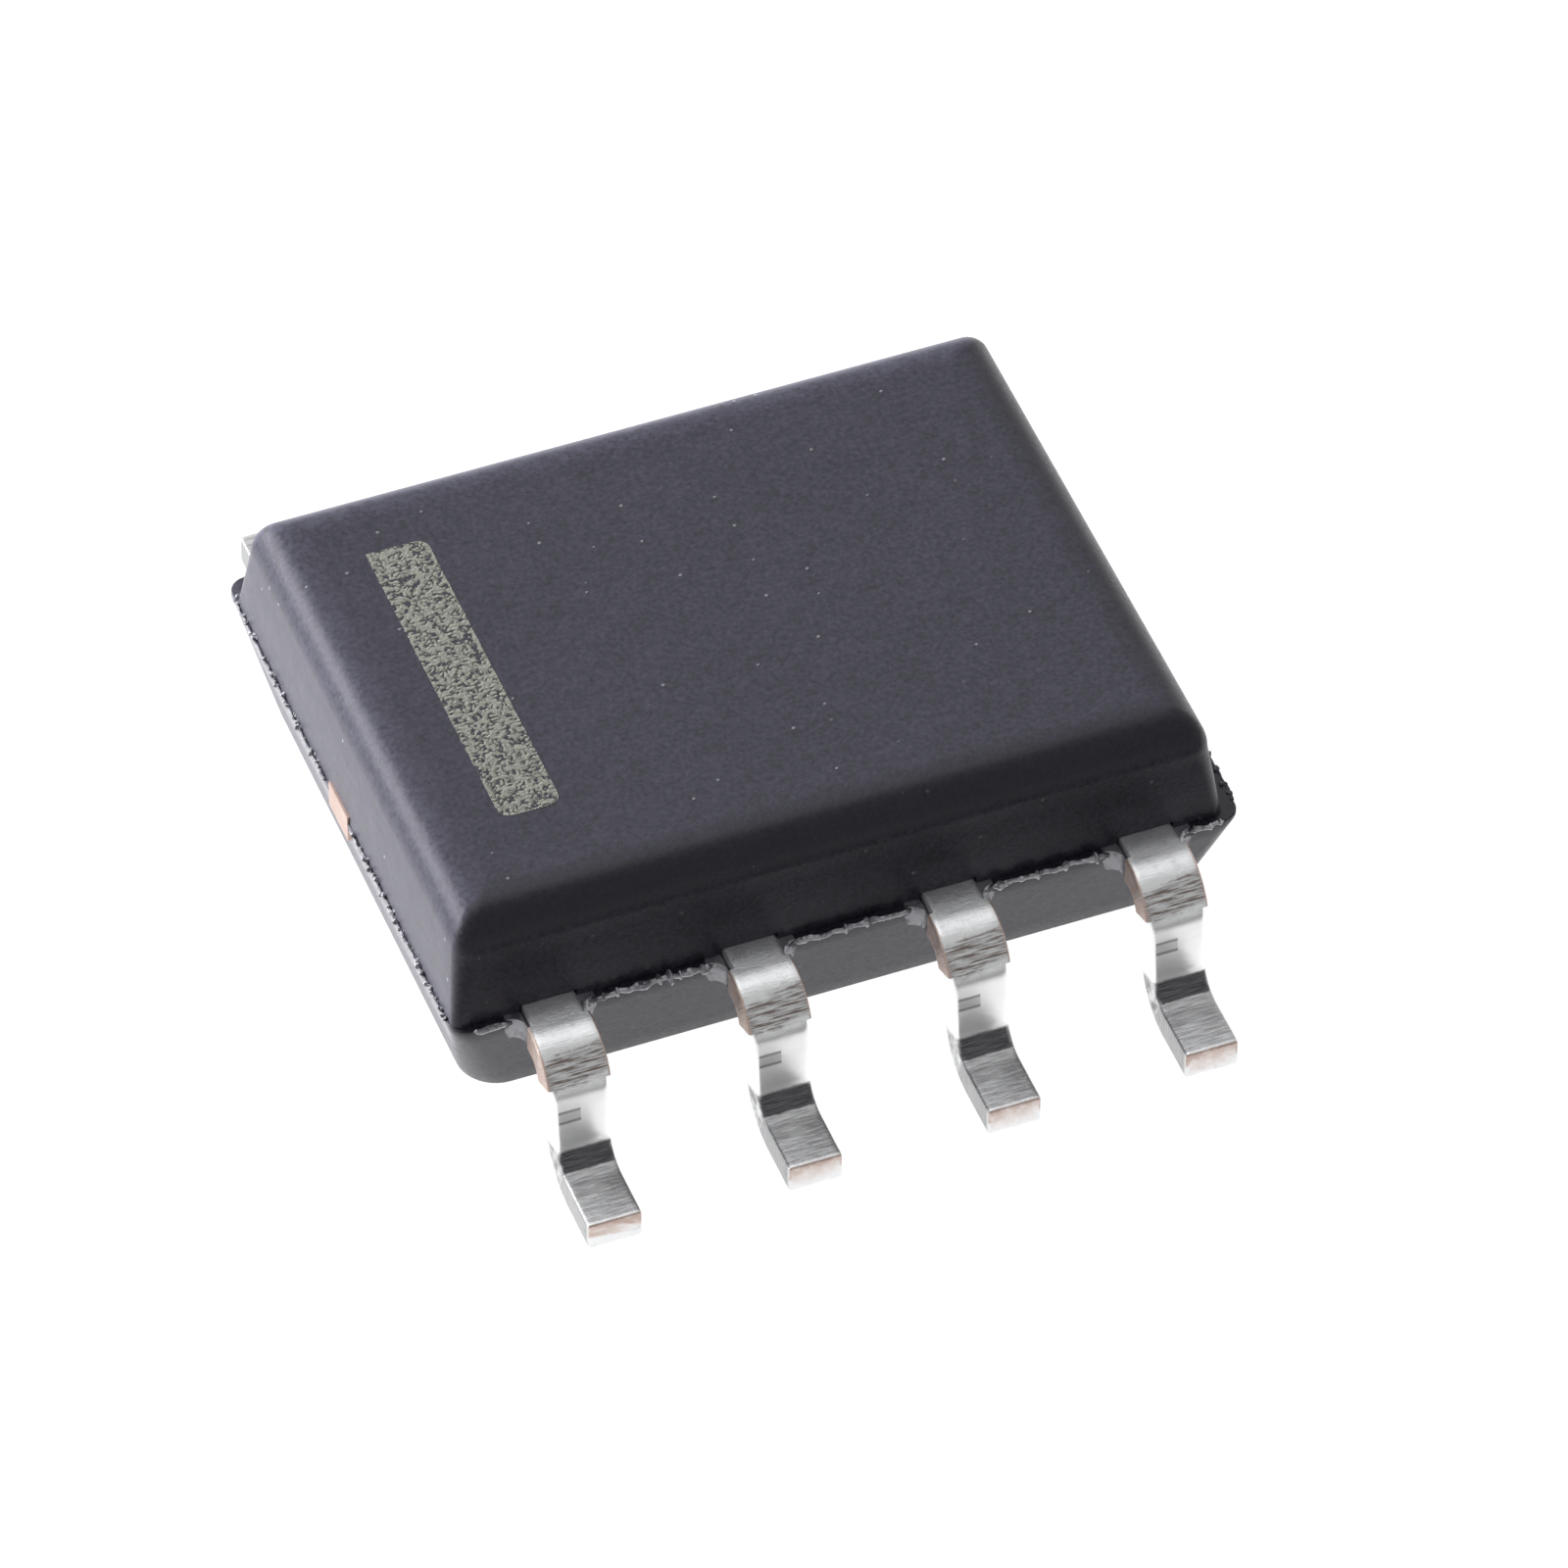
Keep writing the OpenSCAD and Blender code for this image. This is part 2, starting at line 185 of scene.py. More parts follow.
class ChipLeadSizes(bpy.types.PropertyGroup):
    """Sizes of a formed lead."""

    pitch: length("Pitch", "Spacing of the leads", 1.27)
    width: length("Width", "Width of a lead", 0.34)
    thickness: length("Thickness", "Thickness of the lead frame", 0.2)
    stub_w: length("Stub width", "Width over the trimmed dam bar", 0.4)
    stub_flat_l: length("Stub flat", "Stub before the shoulder bend", 0.04)
    stub_end: angle("Stub end", "Where the stub ends on the shoulder bend", 22)
    shoulder_r: length("Shoulder radius", "Inside radius of the shoulder bend", 0.14)
    toe_r: length("Toe radius", "Inside radius of the bend above the foot", 0.18)
    tilt: angle("Riser tilt", "Outward lean of the riser", 5)
    foot_l: length("Foot length", "Length of the flat foot", 0.345)
    root_s: length("Root", "Where the strip leaves the wide inner end", 1.68)
    finger_in: length("Finger end", "Inner end of a middle lead", 1.2)
    corner_in: length("Corner finger end", "Inner end of a corner lead", 0.315)
    edge_r: length("Edge radius", "Plated corner of the strip", 0.02)


class ChipColours(bpy.types.PropertyGroup):
    """Colours of the finishes."""

    resin: colour("Resin", "Mould compound", (77, 76, 91))
    # Painted sheen: besides specks and dust, this colour paints the end walls and the flash paler, for
    # light that they catch.
    resin_pale_and_painted_sheen: colour("Scuffed resin", "Flash and rubbed resin", (214, 214, 220))
    mark: colour("Laser mark", "Pale skin of the bar", (206, 208, 197))
    mark_pit: colour("Laser pits", "Dark pits in the bar", (60, 60, 62))
    tin: colour("Tin", "Plating", (245, 246, 247))
    # Painted shade: besides random tone, this colour paints the dark toe bend and the darker foot, for
    # the dark surroundings that they mirror.
    tin_dark_and_painted_shade: colour("Rubbed tin", "Tin in the toe bend", (72, 70, 74))
    tin_brown: colour("Cracked tin", "Stripes over the shoulder bend", (112, 96, 88))
    copper: colour("Copper", "Cut lead frame", (238, 212, 200))
    silicon: colour("Silicon", "Die", (92, 96, 112))
    silver_epoxy: colour("Die attach", "Silver-filled epoxy", (188, 190, 194))
    gold: colour("Gold", "Bond wires", (240, 200, 104))


class ChipStudio(bpy.types.PropertyGroup):
    """Camera and light."""

    azimuth: angle("Azimuth", "Camera round the package, from the front", -21.16)
    elevation: angle("Elevation", "Camera above the board", 46.1)
    roll: angle("Roll", "Camera about its line of sight", 0.05)
    distance: length("Distance", "Camera from its aim", 79.76)
    aim_right: length("Aim right", "Aim right of the origin, across the view", 0.33)
    aim_up: length("Aim up", "Aim above the origin, up the view", 0.139)
    lens: amount("Lens", "Focal length in millimetres", 300.2)
    flag_near: length("Flag start", "Where the floor in front turns dark for gloss", 3.66)
    flag_far: length("Flag end", "Where that dark stretch of floor ends", 5.5)
    sky: amount("Sky", "Ambient light from behind and above", 0.12)
    gloss_back: amount("Gloss behind", "Brightness that metal mirrors from behind and above", 0.9)
    gloss_front: amount("Gloss in front", "Brightness that metal mirrors from the front", 0.6)
    key: amount("Key", "Radiance of the key panel", 42.0)
    sheen: amount("Sheen", "Radiance of the panel that only gloss sees", 5.0)
    top: amount("Top", "Radiance of the top panel, which only gloss sees", 1.0)


SETTINGS = {
    "chip_mould": ChipMouldSizes,
    "chip_lead": ChipLeadSizes,
    "chip_colours": ChipColours,
    "chip_studio": ChipStudio,
}


# ---------------------------------------------------------------- shader maths


class Link:
    """An output of a shader tree that takes part in sums as a number does."""

    def __init__(self, tree, socket):
        self.tree = tree
        self.socket = socket

    def math(self, operation, *values):
        return self.tree.node("ShaderNodeMath", {"operation": operation}, dict(enumerate(values)))

    def __add__(self, other):
        return self.math("ADD", self, other)

    def __sub__(self, other):
        return self.math("SUBTRACT", self, other)

    def __rsub__(self, other):
        return self.math("SUBTRACT", other, self)

    def __mul__(self, other):
        return self.math("MULTIPLY", self, other)

    def __gt__(self, other):
        return self.math("GREATER_THAN", self, other)

    def __abs__(self):
        return self.math("ABSOLUTE", self)

    __radd__ = __add__
    __rmul__ = __mul__

    def larger(self, other):
        return self.math("MAXIMUM", self, other)

    def between(self, low, high):
        """0 below low, 1 above high and a smooth step from one to the other."""
        return self.tree.node(
            "ShaderNodeMapRange",
            {"interpolation_type": "SMOOTHSTEP"},
            {"Value": self, "From Min": low, "From Max": high},
        )

    def band(self, low, high, soft):
        """1 between low and high, falling to 0 over a soft margin."""
        return self.between(low - soft, low + soft) * (1 - self.between(high - soft, high + soft))


class Tree:
    """A node tree that is being written."""

    def __init__(self, owner):
        owner.use_nodes = True
        self.tree = owner.node_tree
        self.tree.nodes.clear()

    def node(self, kind, settings=None, sockets=None, output=0):
        """Adds a node, sets it, fills its sockets and gives one of its outputs."""
        made = self.tree.nodes.new(kind)
        for key, value in (settings or {}).items():
            setattr(made, key, value)
        for key, value in (sockets or {}).items():
            if isinstance(value, Link):
                self.tree.links.new(value.socket, made.inputs[key])
            else:
                made.inputs[key].default_value = value
        outputs = made.outputs
        return Link(self, outputs[output]) if len(outputs) else None

    def place(self):
        """Place on the piece, in millimetres."""
        at = self.node("ShaderNodeTexCoord", output="Object")
        return self.node("ShaderNodeVectorMath", {"operation": "SCALE"}, {0: at, "Scale": 1 / MM})

    def axes(self, vector):
        """The three numbers of a vector."""
        return [self.node("ShaderNodeSeparateXYZ", None, {0: vector}, i) for i in range(3)]

    def stretched(self, vector, factors):
        """The vector with each of its numbers multiplied."""
        return self.node("ShaderNodeVectorMath", {"operation": "MULTIPLY"}, {0: vector, 1: factors})

    def cloud(self, vector, scale, detail=3.0, rough=0.55):
        """Soft noise from 0 to 1."""
        sockets = {"Vector": vector, "Scale": scale, "Detail": detail, "Roughness": rough}
        return self.node("ShaderNodeTexNoise", None, sockets)

    def cells(self, vector, scale, output="Distance"):
        """Distance to the nearest of scattered points, or a colour for each."""
        return self.node("ShaderNodeTexVoronoi", None, {"Vector": vector, "Scale": scale}, output)

    def mix(self, share, first, second):
        """Blends two colours."""
        settings = {"data_type": "RGBA"}
        return self.node("ShaderNodeMix", settings, {0: share, 6: rgba(first), 7: rgba(second)}, 2)

    def coats(self, base, *layers):
        """Lays coats over a base colour, each given as its share and its colour."""
        for share, coat in layers:
            base = self.mix(share, base, coat)
        return base

    def relief(self, *layers):
        """Relief from layers: a height from 0 to 1, its size in millimetres and its strength."""
        sockets = {}
        for height, size_mm, strength in layers:
            sockets.update({"Height": height, "Distance": size_mm * MM, "Strength": strength})
            sockets["Normal"] = self.node("ShaderNodeBump", None, sockets)
        return sockets["Normal"]

    def surface(self, **sockets):
        """Ends the tree in a Principled shader."""
        named = {key.replace("_", " "): value for key, value in sockets.items()}
        shader = self.node("ShaderNodeBsdfPrincipled", None, named)
        self.node("ShaderNodeOutputMaterial", None, {"Surface": shader})


def rgba(value):
    """A colour with its alpha, unless it is a link."""
    return value if isinstance(value, Link) else (*value[:3], 1.0)


def shaded(value, factor):
    """A colour made darker or lighter."""
    return tuple(min(1.0, c * factor) for c in value)


def finish_named(name):
    """An empty material, its tree and the place on the piece, in millimetres."""
    material = bpy.data.materials.new(name)
    tree = Tree(material)
    return material, tree, tree.place()


# ---------------------------------------------------------------- finishes


def resin_finish(colours, shift_x, painted_end_sheen, pale_share=0.0, foil=0.0, name="mould_compound"):
    """Filled epoxy: a fine matte grain, faint clouds, pale filler specks and scuffs, a lower half
    painted a little paler, a painted sheen on the end walls and, on flash, pale paint as a painted
    reflection.
    """
    material, tree, at = finish_named(name)
    grain = tree.cloud(at, 30.0, 3.0, 0.65)
    clouds = tree.cloud(at, 1.6, 3.0)
    mottle = tree.cloud(at, 9.0, 3.0, 0.6)
    fleck_shape = tree.cells(at, 7.0)
    fleck_pick = tree.axes(tree.cells(at, 7.0, "Color"))[0]
    flecks = (1 - fleck_shape.between(0.05, 0.11)) * fleck_pick.between(0.62, 0.66)
    dust = (1 - tree.cells(at, 26.0).between(0.05, 0.16)) * (tree.cloud(at, 3.0) > 0.6)
    shade = (grain - 0.5) * 2.6 + (mottle - 0.5) * 0.7 + (clouds - 0.5) * 0.3 + 0.5
    base = tree.mix(shade, shaded(colours.resin, 0.6), shaded(colours.resin, 1.4))
    scuff = (flecks * 0.5).larger(dust * 0.14)
    along, _, height = tree.axes(at)
    streaks = tree.cloud(tree.stretched(at, (2.0, 2.5, 22.0)), 1.0, 3.0)
    # Painted sheen: both end walls are painted paler, with streaks, for the light they catch from the
    # side; below the parting the whole lower half is painted a little paler, and its end walls much
    # paler.
    end_wall = abs(along - shift_x).between(*painted_end_sheen) * (0.5 + streaks)
    lower = 1 - height.between(*(MOULD_LOW.z + up for up in LOWER_SHADE))
    pale = [end_wall * (1 - lower) * 0.09, lower * (0.05 + end_wall * 0.34), scuff]
    # Painted reflection: flash and webs are painted toward pale, for light that they reflect.
    if pale_share:
        pale.append(tree.cloud(at, 14.0, 4.0, 0.6).between(0.2, 0.55) * pale_share)
    base = tree.coats(base, *((share, colours.resin_pale_and_painted_sheen) for share in pale))
    relief = tree.relief((grain, 0.0022, 0.6), (mottle, 0.004, 0.5), (flecks, 0.004, 0.6))
    tree.surface(
        Base_Color=base,
        Roughness=(grain - 0.5) * 0.4 + 0.36,
        Specular_IOR_Level=0.35,
        Metallic=foil,
        Normal=relief,
    )
    return material


def tin_finish(colours, marks):
    """Tin plate: striped shoulder bend, dull patch on the riser, toe bend painted dark and foot
    painted darker as painted reflection of dark surroundings, riser painted toward white as painted
    reflection of the floor, copper at the cuts.
    """
    material, tree, at = finish_named("tin_plate")
    strip = tree.node("ShaderNodeAttribute", {"attribute_name": "strip"}, None, "Vector")
    across, along, cut = tree.axes(strip)
    lines = tree.cloud(tree.stretched(strip, (6.0, 110.0, 0.0)), 1.0, 3.0, 0.6)
    fine = tree.cloud(tree.stretched(strip, (14.0, 260.0, 0.0)), 1.0, 2.0, 0.6)
    mottle = tree.cloud(at, 16.0, 4.0, 0.62)
    grains = tree.cells(at, 38.0)

    wander = (tree.cloud(at, 12.0, 3.0) - 0.5) * 0.08
    skewed = along + across * 0.12 + wander
    crack_zone = skewed.band(marks.crack_start, marks.crack_end, 0.02)
    cracks = crack_zone * lines.between(0.42, 0.6)
    # Painted shade: a dark patch over the toe bend, for the dark surroundings that it mirrors.
    painted_toe_shade = (along + wander * 0.5).band(marks.toe_start, marks.toe_end, 0.012)
    painted_toe_shade_across = (across + wander).band(-marks.half_w, marks.half_w, 0.02)
    pad = along.band(marks.pad_start, marks.pad_end, 0.004)
    rules = 1 - along.band(marks.pad_start + 0.02, marks.pad_end - 0.02, 0.006)
    pad = pad * across.band(0.02 - marks.half_w, marks.pad_right, 0.004) * (rules * 0.35 + 0.3)
    foot = along.band(marks.toe_end, marks.foot_end, 0.02)

    root = 1 - along.between(marks.root_end - 0.03, marks.root_end + 0.03)
    calm = along.band(marks.crack_end + 0.03, marks.toe_start, 0.03)
    flat = 1 - along.between(marks.crack_start - 0.1, marks.crack_start)
    still = 1 - calm * 0.9
    # The painted shade of the toe bend, with faint streaks.
    painted_light = painted_toe_shade * painted_toe_shade_across * (lines.between(0.4, 0.6) * 0.12 + 0.88)
    bare = cut * (0.55 + mottle.between(0.3, 0.6) * 0.45)
    base = tree.coats(
        tree.mix((lines - 0.5) * still * 0.5 + 0.5, shaded(colours.tin, 0.86), colours.tin),
        (mottle.between(0.55, 0.75) * still * 0.2, colours.tin_dark_and_painted_shade),
        (crack_zone * 0.2, colours.tin_dark_and_painted_shade),
        (cracks * 0.9, colours.tin_brown),
        # Painted shade of the toe bend.
        (painted_light, colours.tin_dark_and_painted_shade),
        # The foot's streaks are its own; its overall darkening is a painted reflection of the dark
        # body wall.
        (foot * (lines.between(0.35, 0.65) * 0.4 + 0.3), colours.tin_dark_and_painted_shade),
        # Painted reflection: the smooth riser is painted toward white, for the white floor that it
        # mirrors.
        (calm * 0.8, (1.0, 1.0, 1.0)),
        (pad, colours.tin_dark_and_painted_shade),
        (bare, colours.copper),
    )
    relief = tree.relief(
        (lines * still, 0.003, 0.5),
        (fine * still, 0.0012, 0.5),
        (mottle * still, 0.004, 0.4),
        ((1 - grains.between(0.0, 0.35)) * still, 0.002, 0.3),
    )
    rough = 0.16 + mottle * still * 0.14 + lines * 0.06 + bare * 0.1
    rough += cracks * 0.15 + flat * 0.15 + foot * 0.14 + calm * 0.13
    tree.surface(
        Base_Color=base,
        Metallic=0.9 + calm * 0.1 - bare * 0.4 - root * 0.3,
        Roughness=rough,
        Normal=relief,
    )
    return material


def mark_finish(colours):
    """Resin skin that a laser has roughened and paled, with dark pits."""
    material, tree, at = finish_named("laser_mark")
    burn = tree.node("ShaderNodeAttribute", {"attribute_name": "burn"}, None, "Fac")
    speckle = tree.cloud(at, 60.0, 3.0, 0.7)
    hatch = tree.cloud(tree.stretched(at, (70.0, 9.0, 1.0)), 1.0, 2.0)
    shade = burn + (speckle - 0.5) * 0.8 + (hatch - 0.5) * 0.3
    glints = (speckle.between(0.66, 0.74) * burn) * 0.6
    base = tree.mix(shade, colours.mark_pit, colours.mark)
    base = tree.mix(glints, base, shaded(colours.mark, 1.8))
    relief = tree.relief((speckle, 0.004, 0.7))
    rough = 0.72 + speckle * 0.2
    tree.surface(Base_Color=base, Roughness=rough, Specular_IOR_Level=0.3, Normal=relief)
    return material


def metal_finish(name, colour_value, roughness, scale):
    """A plain metal with rolling lines and a cloudy tarnish."""
    material, tree, at = finish_named(name)
    lines = tree.cloud(tree.stretched(at, (3.0, 60.0, 3.0)), scale, 3.0)
    clouds = tree.cloud(at, 5.0 * scale, 4.0, 0.6)
    base = tree.mix(clouds * 0.7, colour_value, shaded(colour_value, 0.6))
    relief = tree.relief((lines, 0.002, 0.6))
    rough = (clouds - 0.5) * 0.3 + roughness
    tree.surface(Base_Color=base, Metallic=1.0, Roughness=rough, Normal=relief)
    return material


def silicon_finish(colours):
    """Polished die with a faint grid of circuitry."""
    material, tree, at = finish_named("silicon")
    x, y, _ = tree.axes(at)
    line = SILICON_CELL * 0.8, SILICON_CELL * 0.9
    rows, columns = (axis.math("PINGPONG", axis, SILICON_CELL).between(*line) for axis in (y, x))
    grid = rows.larger(columns)
    base = tree.mix(grid * 0.5, colours.silicon, shaded(colours.silicon, 1.8))
    base = tree.mix(tree.cloud(at, 5.0) * 0.4, base, (0.16, 0.12, 0.2))
    relief = tree.relief((grid, 0.002, 0.5))
    tree.surface(Base_Color=base, Roughness=0.16 + tree.cloud(at, 8.0) * 0.12, Normal=relief)
    return material


def epoxy_finish(colours):
    """Silver-filled adhesive: pale flakes in a dull binder."""
    material, tree, at = finish_named("die_attach")
    flakes = tree.cells(at, 40.0)
    clouds = tree.cloud(at, 12.0, 3.0)
    dull = shaded(colours.silver_epoxy, 0.45)
    base = tree.mix(flakes.between(0.2, 0.6) * 0.7 + clouds * 0.2, colours.silver_epoxy, dull)
    relief = tree.relief((flakes, 0.003, 0.6))
    tree.surface(Base_Color=base, Metallic=0.5, Roughness=0.4 + clouds * 0.3, Normal=relief)
    return material


# ---------------------------------------------------------------- mesh making


def mesh_piece(name, points, faces, material, attributes=None):
    """Makes an object from points in millimetres, smooth where its faces meet at low angles."""
    mesh = bpy.data.meshes.new(name)
    mesh.from_pydata([Vector(p) * MM for p in points], [], faces)
    for key, (kind, values) in (attributes or {}).items():
        layer = mesh.attributes.new(key, kind, "POINT")
        field = "vector" if kind == "FLOAT_VECTOR" else "value"
        layer.data.foreach_set(field, values)
    mesh.validate()
    mesh.shade_smooth()
    mesh.set_sharp_from_angle(angle=SMOOTH_BELOW)
    mesh.materials.append(material)
    piece = bpy.data.objects.new(name, mesh)
    bpy.context.scene.collection.objects.link(piece)
    return piece


def seat(piece, slot, *nodes):
    """Lets a piece ride on the package and stand for the CAD nodes that it covers."""
    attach(piece, "root")
    if nodes:
        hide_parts(*nodes)


def loft(rings):
    """Quads between rings of equal length, and a cap on the first and the last."""
    count = len(rings[0])
    points = [p for ring in rings for p in ring]
    faces = []
    for i in range(len(rings) - 1):
        low, high = i * count, (i + 1) * count
        for j in range(count):
            k = (j + 1) % count
            faces.append((low + j, low + k, high + k, high + j))
    faces.append(tuple(reversed(range(count))))
    faces.append(tuple((len(rings) - 1) * count + j for j in range(count)))
    return points, faces


def box_mesh(low, high):
    """Corners and faces of a plain box."""
    ring = [(low[0], low[1]), (high[0], low[1]), (high[0], high[1]), (low[0], high[1])]
    return loft([[(x, y, z) for x, y in ring] for z in (low[2], high[2])])


def rounded_ring(half_x, half_y, radius, z=0.0, centre=(0.0, 0.0), corner_steps=10, side_steps=None):
    """Rounded rectangle, anticlockwise from above, with as many points at any size.

    The first of side_steps is for the sides that run along Y, the second for those along X.
    """
    side_steps = side_steps or (24, 24)
    arcs = []
    for quarter, (sx, sy) in enumerate(((1, -1), (1, 1), (-1, 1), (-1, -1))):
        middle = Vector((sx * (half_x - radius), sy * (half_y - radius)))
        angles = [(quarter - 1 + i / corner_steps) * math.pi / 2 for i in range(corner_steps + 1)]
        arcs.append([middle + radius * Vector((math.cos(a), math.sin(a))) for a in angles])
    ring = []
    for quarter, arc in enumerate(arcs):
        ahead, steps = arcs[(quarter + 1) % 4][0], side_steps[quarter % 2]
        ring += arc + [arc[-1].lerp(ahead, i / steps) for i in range(1, steps)]
    return [(p.x + centre[0], p.y + centre[1], z) for p in ring]


def placed(solid, turn, shift=(0.0, 0.0, 0.0)):
    """Points and faces shifted, then turned about the upright axis."""
    points, faces = solid
    spin, shift = Matrix.Rotation(turn, 3, "Z"), Vector(shift)
    return [spin @ (Vector(p) + shift) for p in points], faces


def joined(parts):
    """Several lots of points and faces as one."""
    points, faces = [], []
    for part_points, part_faces in parts:
        start = len(points)
        points += [tuple(p) for p in part_points]
        faces += [tuple(start + i for i in face) for face in part_faces]
    return points, faces


def cut_away(points, faces, tool_points, tool_faces):
    """Takes the tool solids out of a solid and gives what is left, in millimetres."""
    pair = []
    for name, lot in (("blank", (points, faces)), ("tool", (tool_points, tool_faces))):
        mesh = bpy.data.meshes.new(name)
        mesh.from_pydata(lot[0], [], lot[1])
        pair.append(bpy.data.objects.new(name, mesh))
        bpy.context.scene.collection.objects.link(pair[-1])
    blank, tool = pair
    cut = blank.modifiers.new("cut", "BOOLEAN")
    cut.operation = "DIFFERENCE"
    cut.solver = "EXACT"
    cut.object = tool
    graph = bpy.context.evaluated_depsgraph_get()
    result = bpy.data.meshes.new_from_object(blank.evaluated_get(graph))
    kept = [tuple(v.co) for v in result.vertices], [tuple(p.vertices) for p in result.polygons]
    for piece in pair:
        mesh = piece.data
        bpy.data.objects.remove(piece)
        bpy.data.meshes.remove(mesh)
    bpy.data.meshes.remove(result)
    if not kept[1]:
        raise RuntimeError("the cut left nothing")
    return kept


def wobble(x, y=0.0, z=0.0):
    """Smooth noise between about -1 and 1."""
    return noise.noise(Vector((x, y, z)))


# ---------------------------------------------------------------- moulding


def pin_x(pin, pitch):
    """Place of a pin of the front row along the body."""
    return (pin - (ROW_PINS + 1) / 2) * pitch


def wall_rings(foot, crown, shares, centre=(0.0, 0.0)):
    """Rings up a straight wall. Its ends are half length, half width, corner radius and height."""
    levels = ([a + (b - a) * share for a, b in zip(foot, crown)] for share in shares)
    return [rounded_ring(*level, centre) for level in levels]


def lower_rings(size):
    """Rings of the moulding from its underside to the parting plane."""
    half_l, half_w = MOULD_HIGH.x, size.ledge_w / 2
    bottom_z, rim_z = MOULD_LOW.z, size.parting_z - size.ledge_t
    fall = rim_z - bottom_z
    bottom_l = half_l - fall * math.tan(size.lower_draft_end)
    bottom_w = half_w - fall * math.tan(size.lower_draft_side)
    rings = []

    for inset in UNDERSIDE_INSETS:
        radius = size.bottom_corner_r - inset * 0.4
        rings.append(rounded_ring(bottom_l - inset, bottom_w - inset, radius, bottom_z))
    steps = 4
    for i in range(steps + 1):
        a = i / steps * math.pi / 2
        inset = size.bottom_edge_r * (1 - math.sin(a))
        rise = size.bottom_edge_r * (1 - math.cos(a))
        ring_l = bottom_l + rise * math.tan(size.lower_draft_end) - inset
        ring_w = bottom_w + rise * math.tan(size.lower_draft_side) - inset
        rings.append(rounded_ring(ring_l, ring_w, size.bottom_corner_r, bottom_z + rise))
    start = size.bottom_edge_r / fall
    shares = [start + (1 - start) * i / WALL_STEPS for i in range(1, WALL_STEPS + 1)]
    foot = bottom_l, bottom_w, size.bottom_corner_r, bottom_z
    rings += wall_rings(foot, (half_l, half_w, size.ledge_corner_r, rim_z), shares)
    radius = size.ledge_corner_r
    rings.append(rounded_ring(half_l, half_w, radius, size.parting_z - RIM_LIP))
    rings.append(rounded_ring(half_l - RIM_LIP, half_w - RIM_LIP, radius - RIM_LIP, size.parting_z))
    return rings


def upper_rings(size):
    """Rings of the moulding from the parting plane to its level top."""
    top_z = MOULD_HIGH.z
    shift = (size.shift_x, size.shift_y)
    wall_h = top_z - size.parting_z - size.edge_h
    crown_l = size.body_l / 2 - wall_h * math.tan(size.draft_end)
    crown_w = size.body_w / 2 - wall_h * math.tan(size.draft_side)
    foot = size.body_l / 2, size.body_w / 2, size.foot_corner_r, size.parting_z
    crown = crown_l, crown_w, size.edge_corner_r, size.parting_z + wall_h
    rings = wall_rings(foot, crown, [i / WALL_STEPS for i in range(WALL_STEPS + 1)], shift)
    edge_steps = 18
    join = math.atan2(size.edge_h, size.edge_w * math.tan(size.camber))
    join_inset = size.edge_w * (1 - math.cos(join))
    tail = size.camber_w - join_inset
    drop = tail * math.tan(size.camber) / 2
    sunk = drop - size.edge_h * (1 - math.sin(join))
    for i in range(1, edge_steps + 1):
        a = i / edge_steps * join
        inset = size.edge_w * (1 - math.cos(a))
        radius = size.top_corner_r + (size.edge_corner_r - size.top_corner_r) * math.cos(a)
        z = size.parting_z + wall_h + size.edge_h * math.sin(a) - sunk * i / edge_steps
        rings.append(rounded_ring(crown_l - inset, crown_w - inset, radius, z, shift))
    tail_steps = 6
    for i in range(1, tail_steps + 1):
        left = 1 - i / tail_steps
        inset = size.camber_w - tail * left
        z = top_z - drop * left * left
        rings.append(rounded_ring(crown_l - inset, crown_w - inset, size.top_corner_r, z, shift))
    inset = size.camber_w + TOP_INSET
    rings.append(rounded_ring(crown_l - inset, crown_w - inset, size.top_corner_r, top_z, shift))
    return rings


def mould_pockets(size, lead):
    """What stays open in the moulding: slits round leads and tie bar ends, the ejector's mark."""
    parts = []
    frame_top = LEAD_HIGH.z
    frame_bottom = frame_top - lead.thickness
    reach, slit = lead.width / 2 + size.slit, size.slit / 2
    tie_reach, tie_slit = TIE_HALF_W + size.slit / 3, size.slit / 3
    for turn in (0, math.pi):
        for pin in range(1, ROW_PINS + 1):
            x = pin_x(pin, lead.pitch)
            low = (x - reach, -size.ledge_w / 2 - POCKET_DEPTH, frame_bottom - slit)
            high = (x + reach, -size.ledge_w / 2 + POCKET_DEPTH, frame_top + slit)
            parts.append(placed(box_mesh(low, high), turn))
        low = (TIE_HIGH.x - POCKET_DEPTH, -tie_reach, frame_bottom - tie_slit)
        high = (TIE_HIGH.x + POCKET_DEPTH, tie_reach, frame_top + tie_slit)
        parts.append(placed(box_mesh(low, high), turn))
    sides = 96
    circle = [(math.cos(a), math.sin(a)) for a in (i / sides * math.tau for i in range(sides))]
    radius = size.ejector_d / 2
    heights = (MOULD_LOW.z - size.ejector_depth, MOULD_LOW.z + size.ejector_depth)
    parts.append(loft([[(x * radius, y * radius, z) for x, y in circle] for z in heights]))
    return joined(parts)


def painted_sheen_ends(size):
    """Distances from the middle between which the painted sheen of the end walls sets in."""
    wall_h = MOULD_HIGH.z - size.parting_z - size.edge_h
    crown = size.body_l / 2 - wall_h * math.tan(size.draft_end)
    return crown - 0.03, crown + 0.03


class CHIP_OT_mould(bpy.types.Operator):
    """Build the two-part moulding with its drafted walls, rim, slits and ejector mark"""

    bl_idname = "chip.mould"
    bl_label = "Moulding"

    def execute(self, context):
        scene = context.scene
        size, lead = measures(scene.chip_mould), measures(scene.chip_lead)
        points, faces = loft(lower_rings(size) + upper_rings(size))
        points, faces = cut_away(points, faces, *mould_pockets(size, lead))
        # The end walls get a painted sheen.
        finish = resin_finish(scene.chip_colours, size.shift_x, painted_sheen_ends(size))
        shell = mesh_piece("mould_shell", points, faces, finish)
        seat(shell, "mould_compound", "mould_body")
        return {"FINISHED"}


# ---------------------------------------------------------------- flash and webs


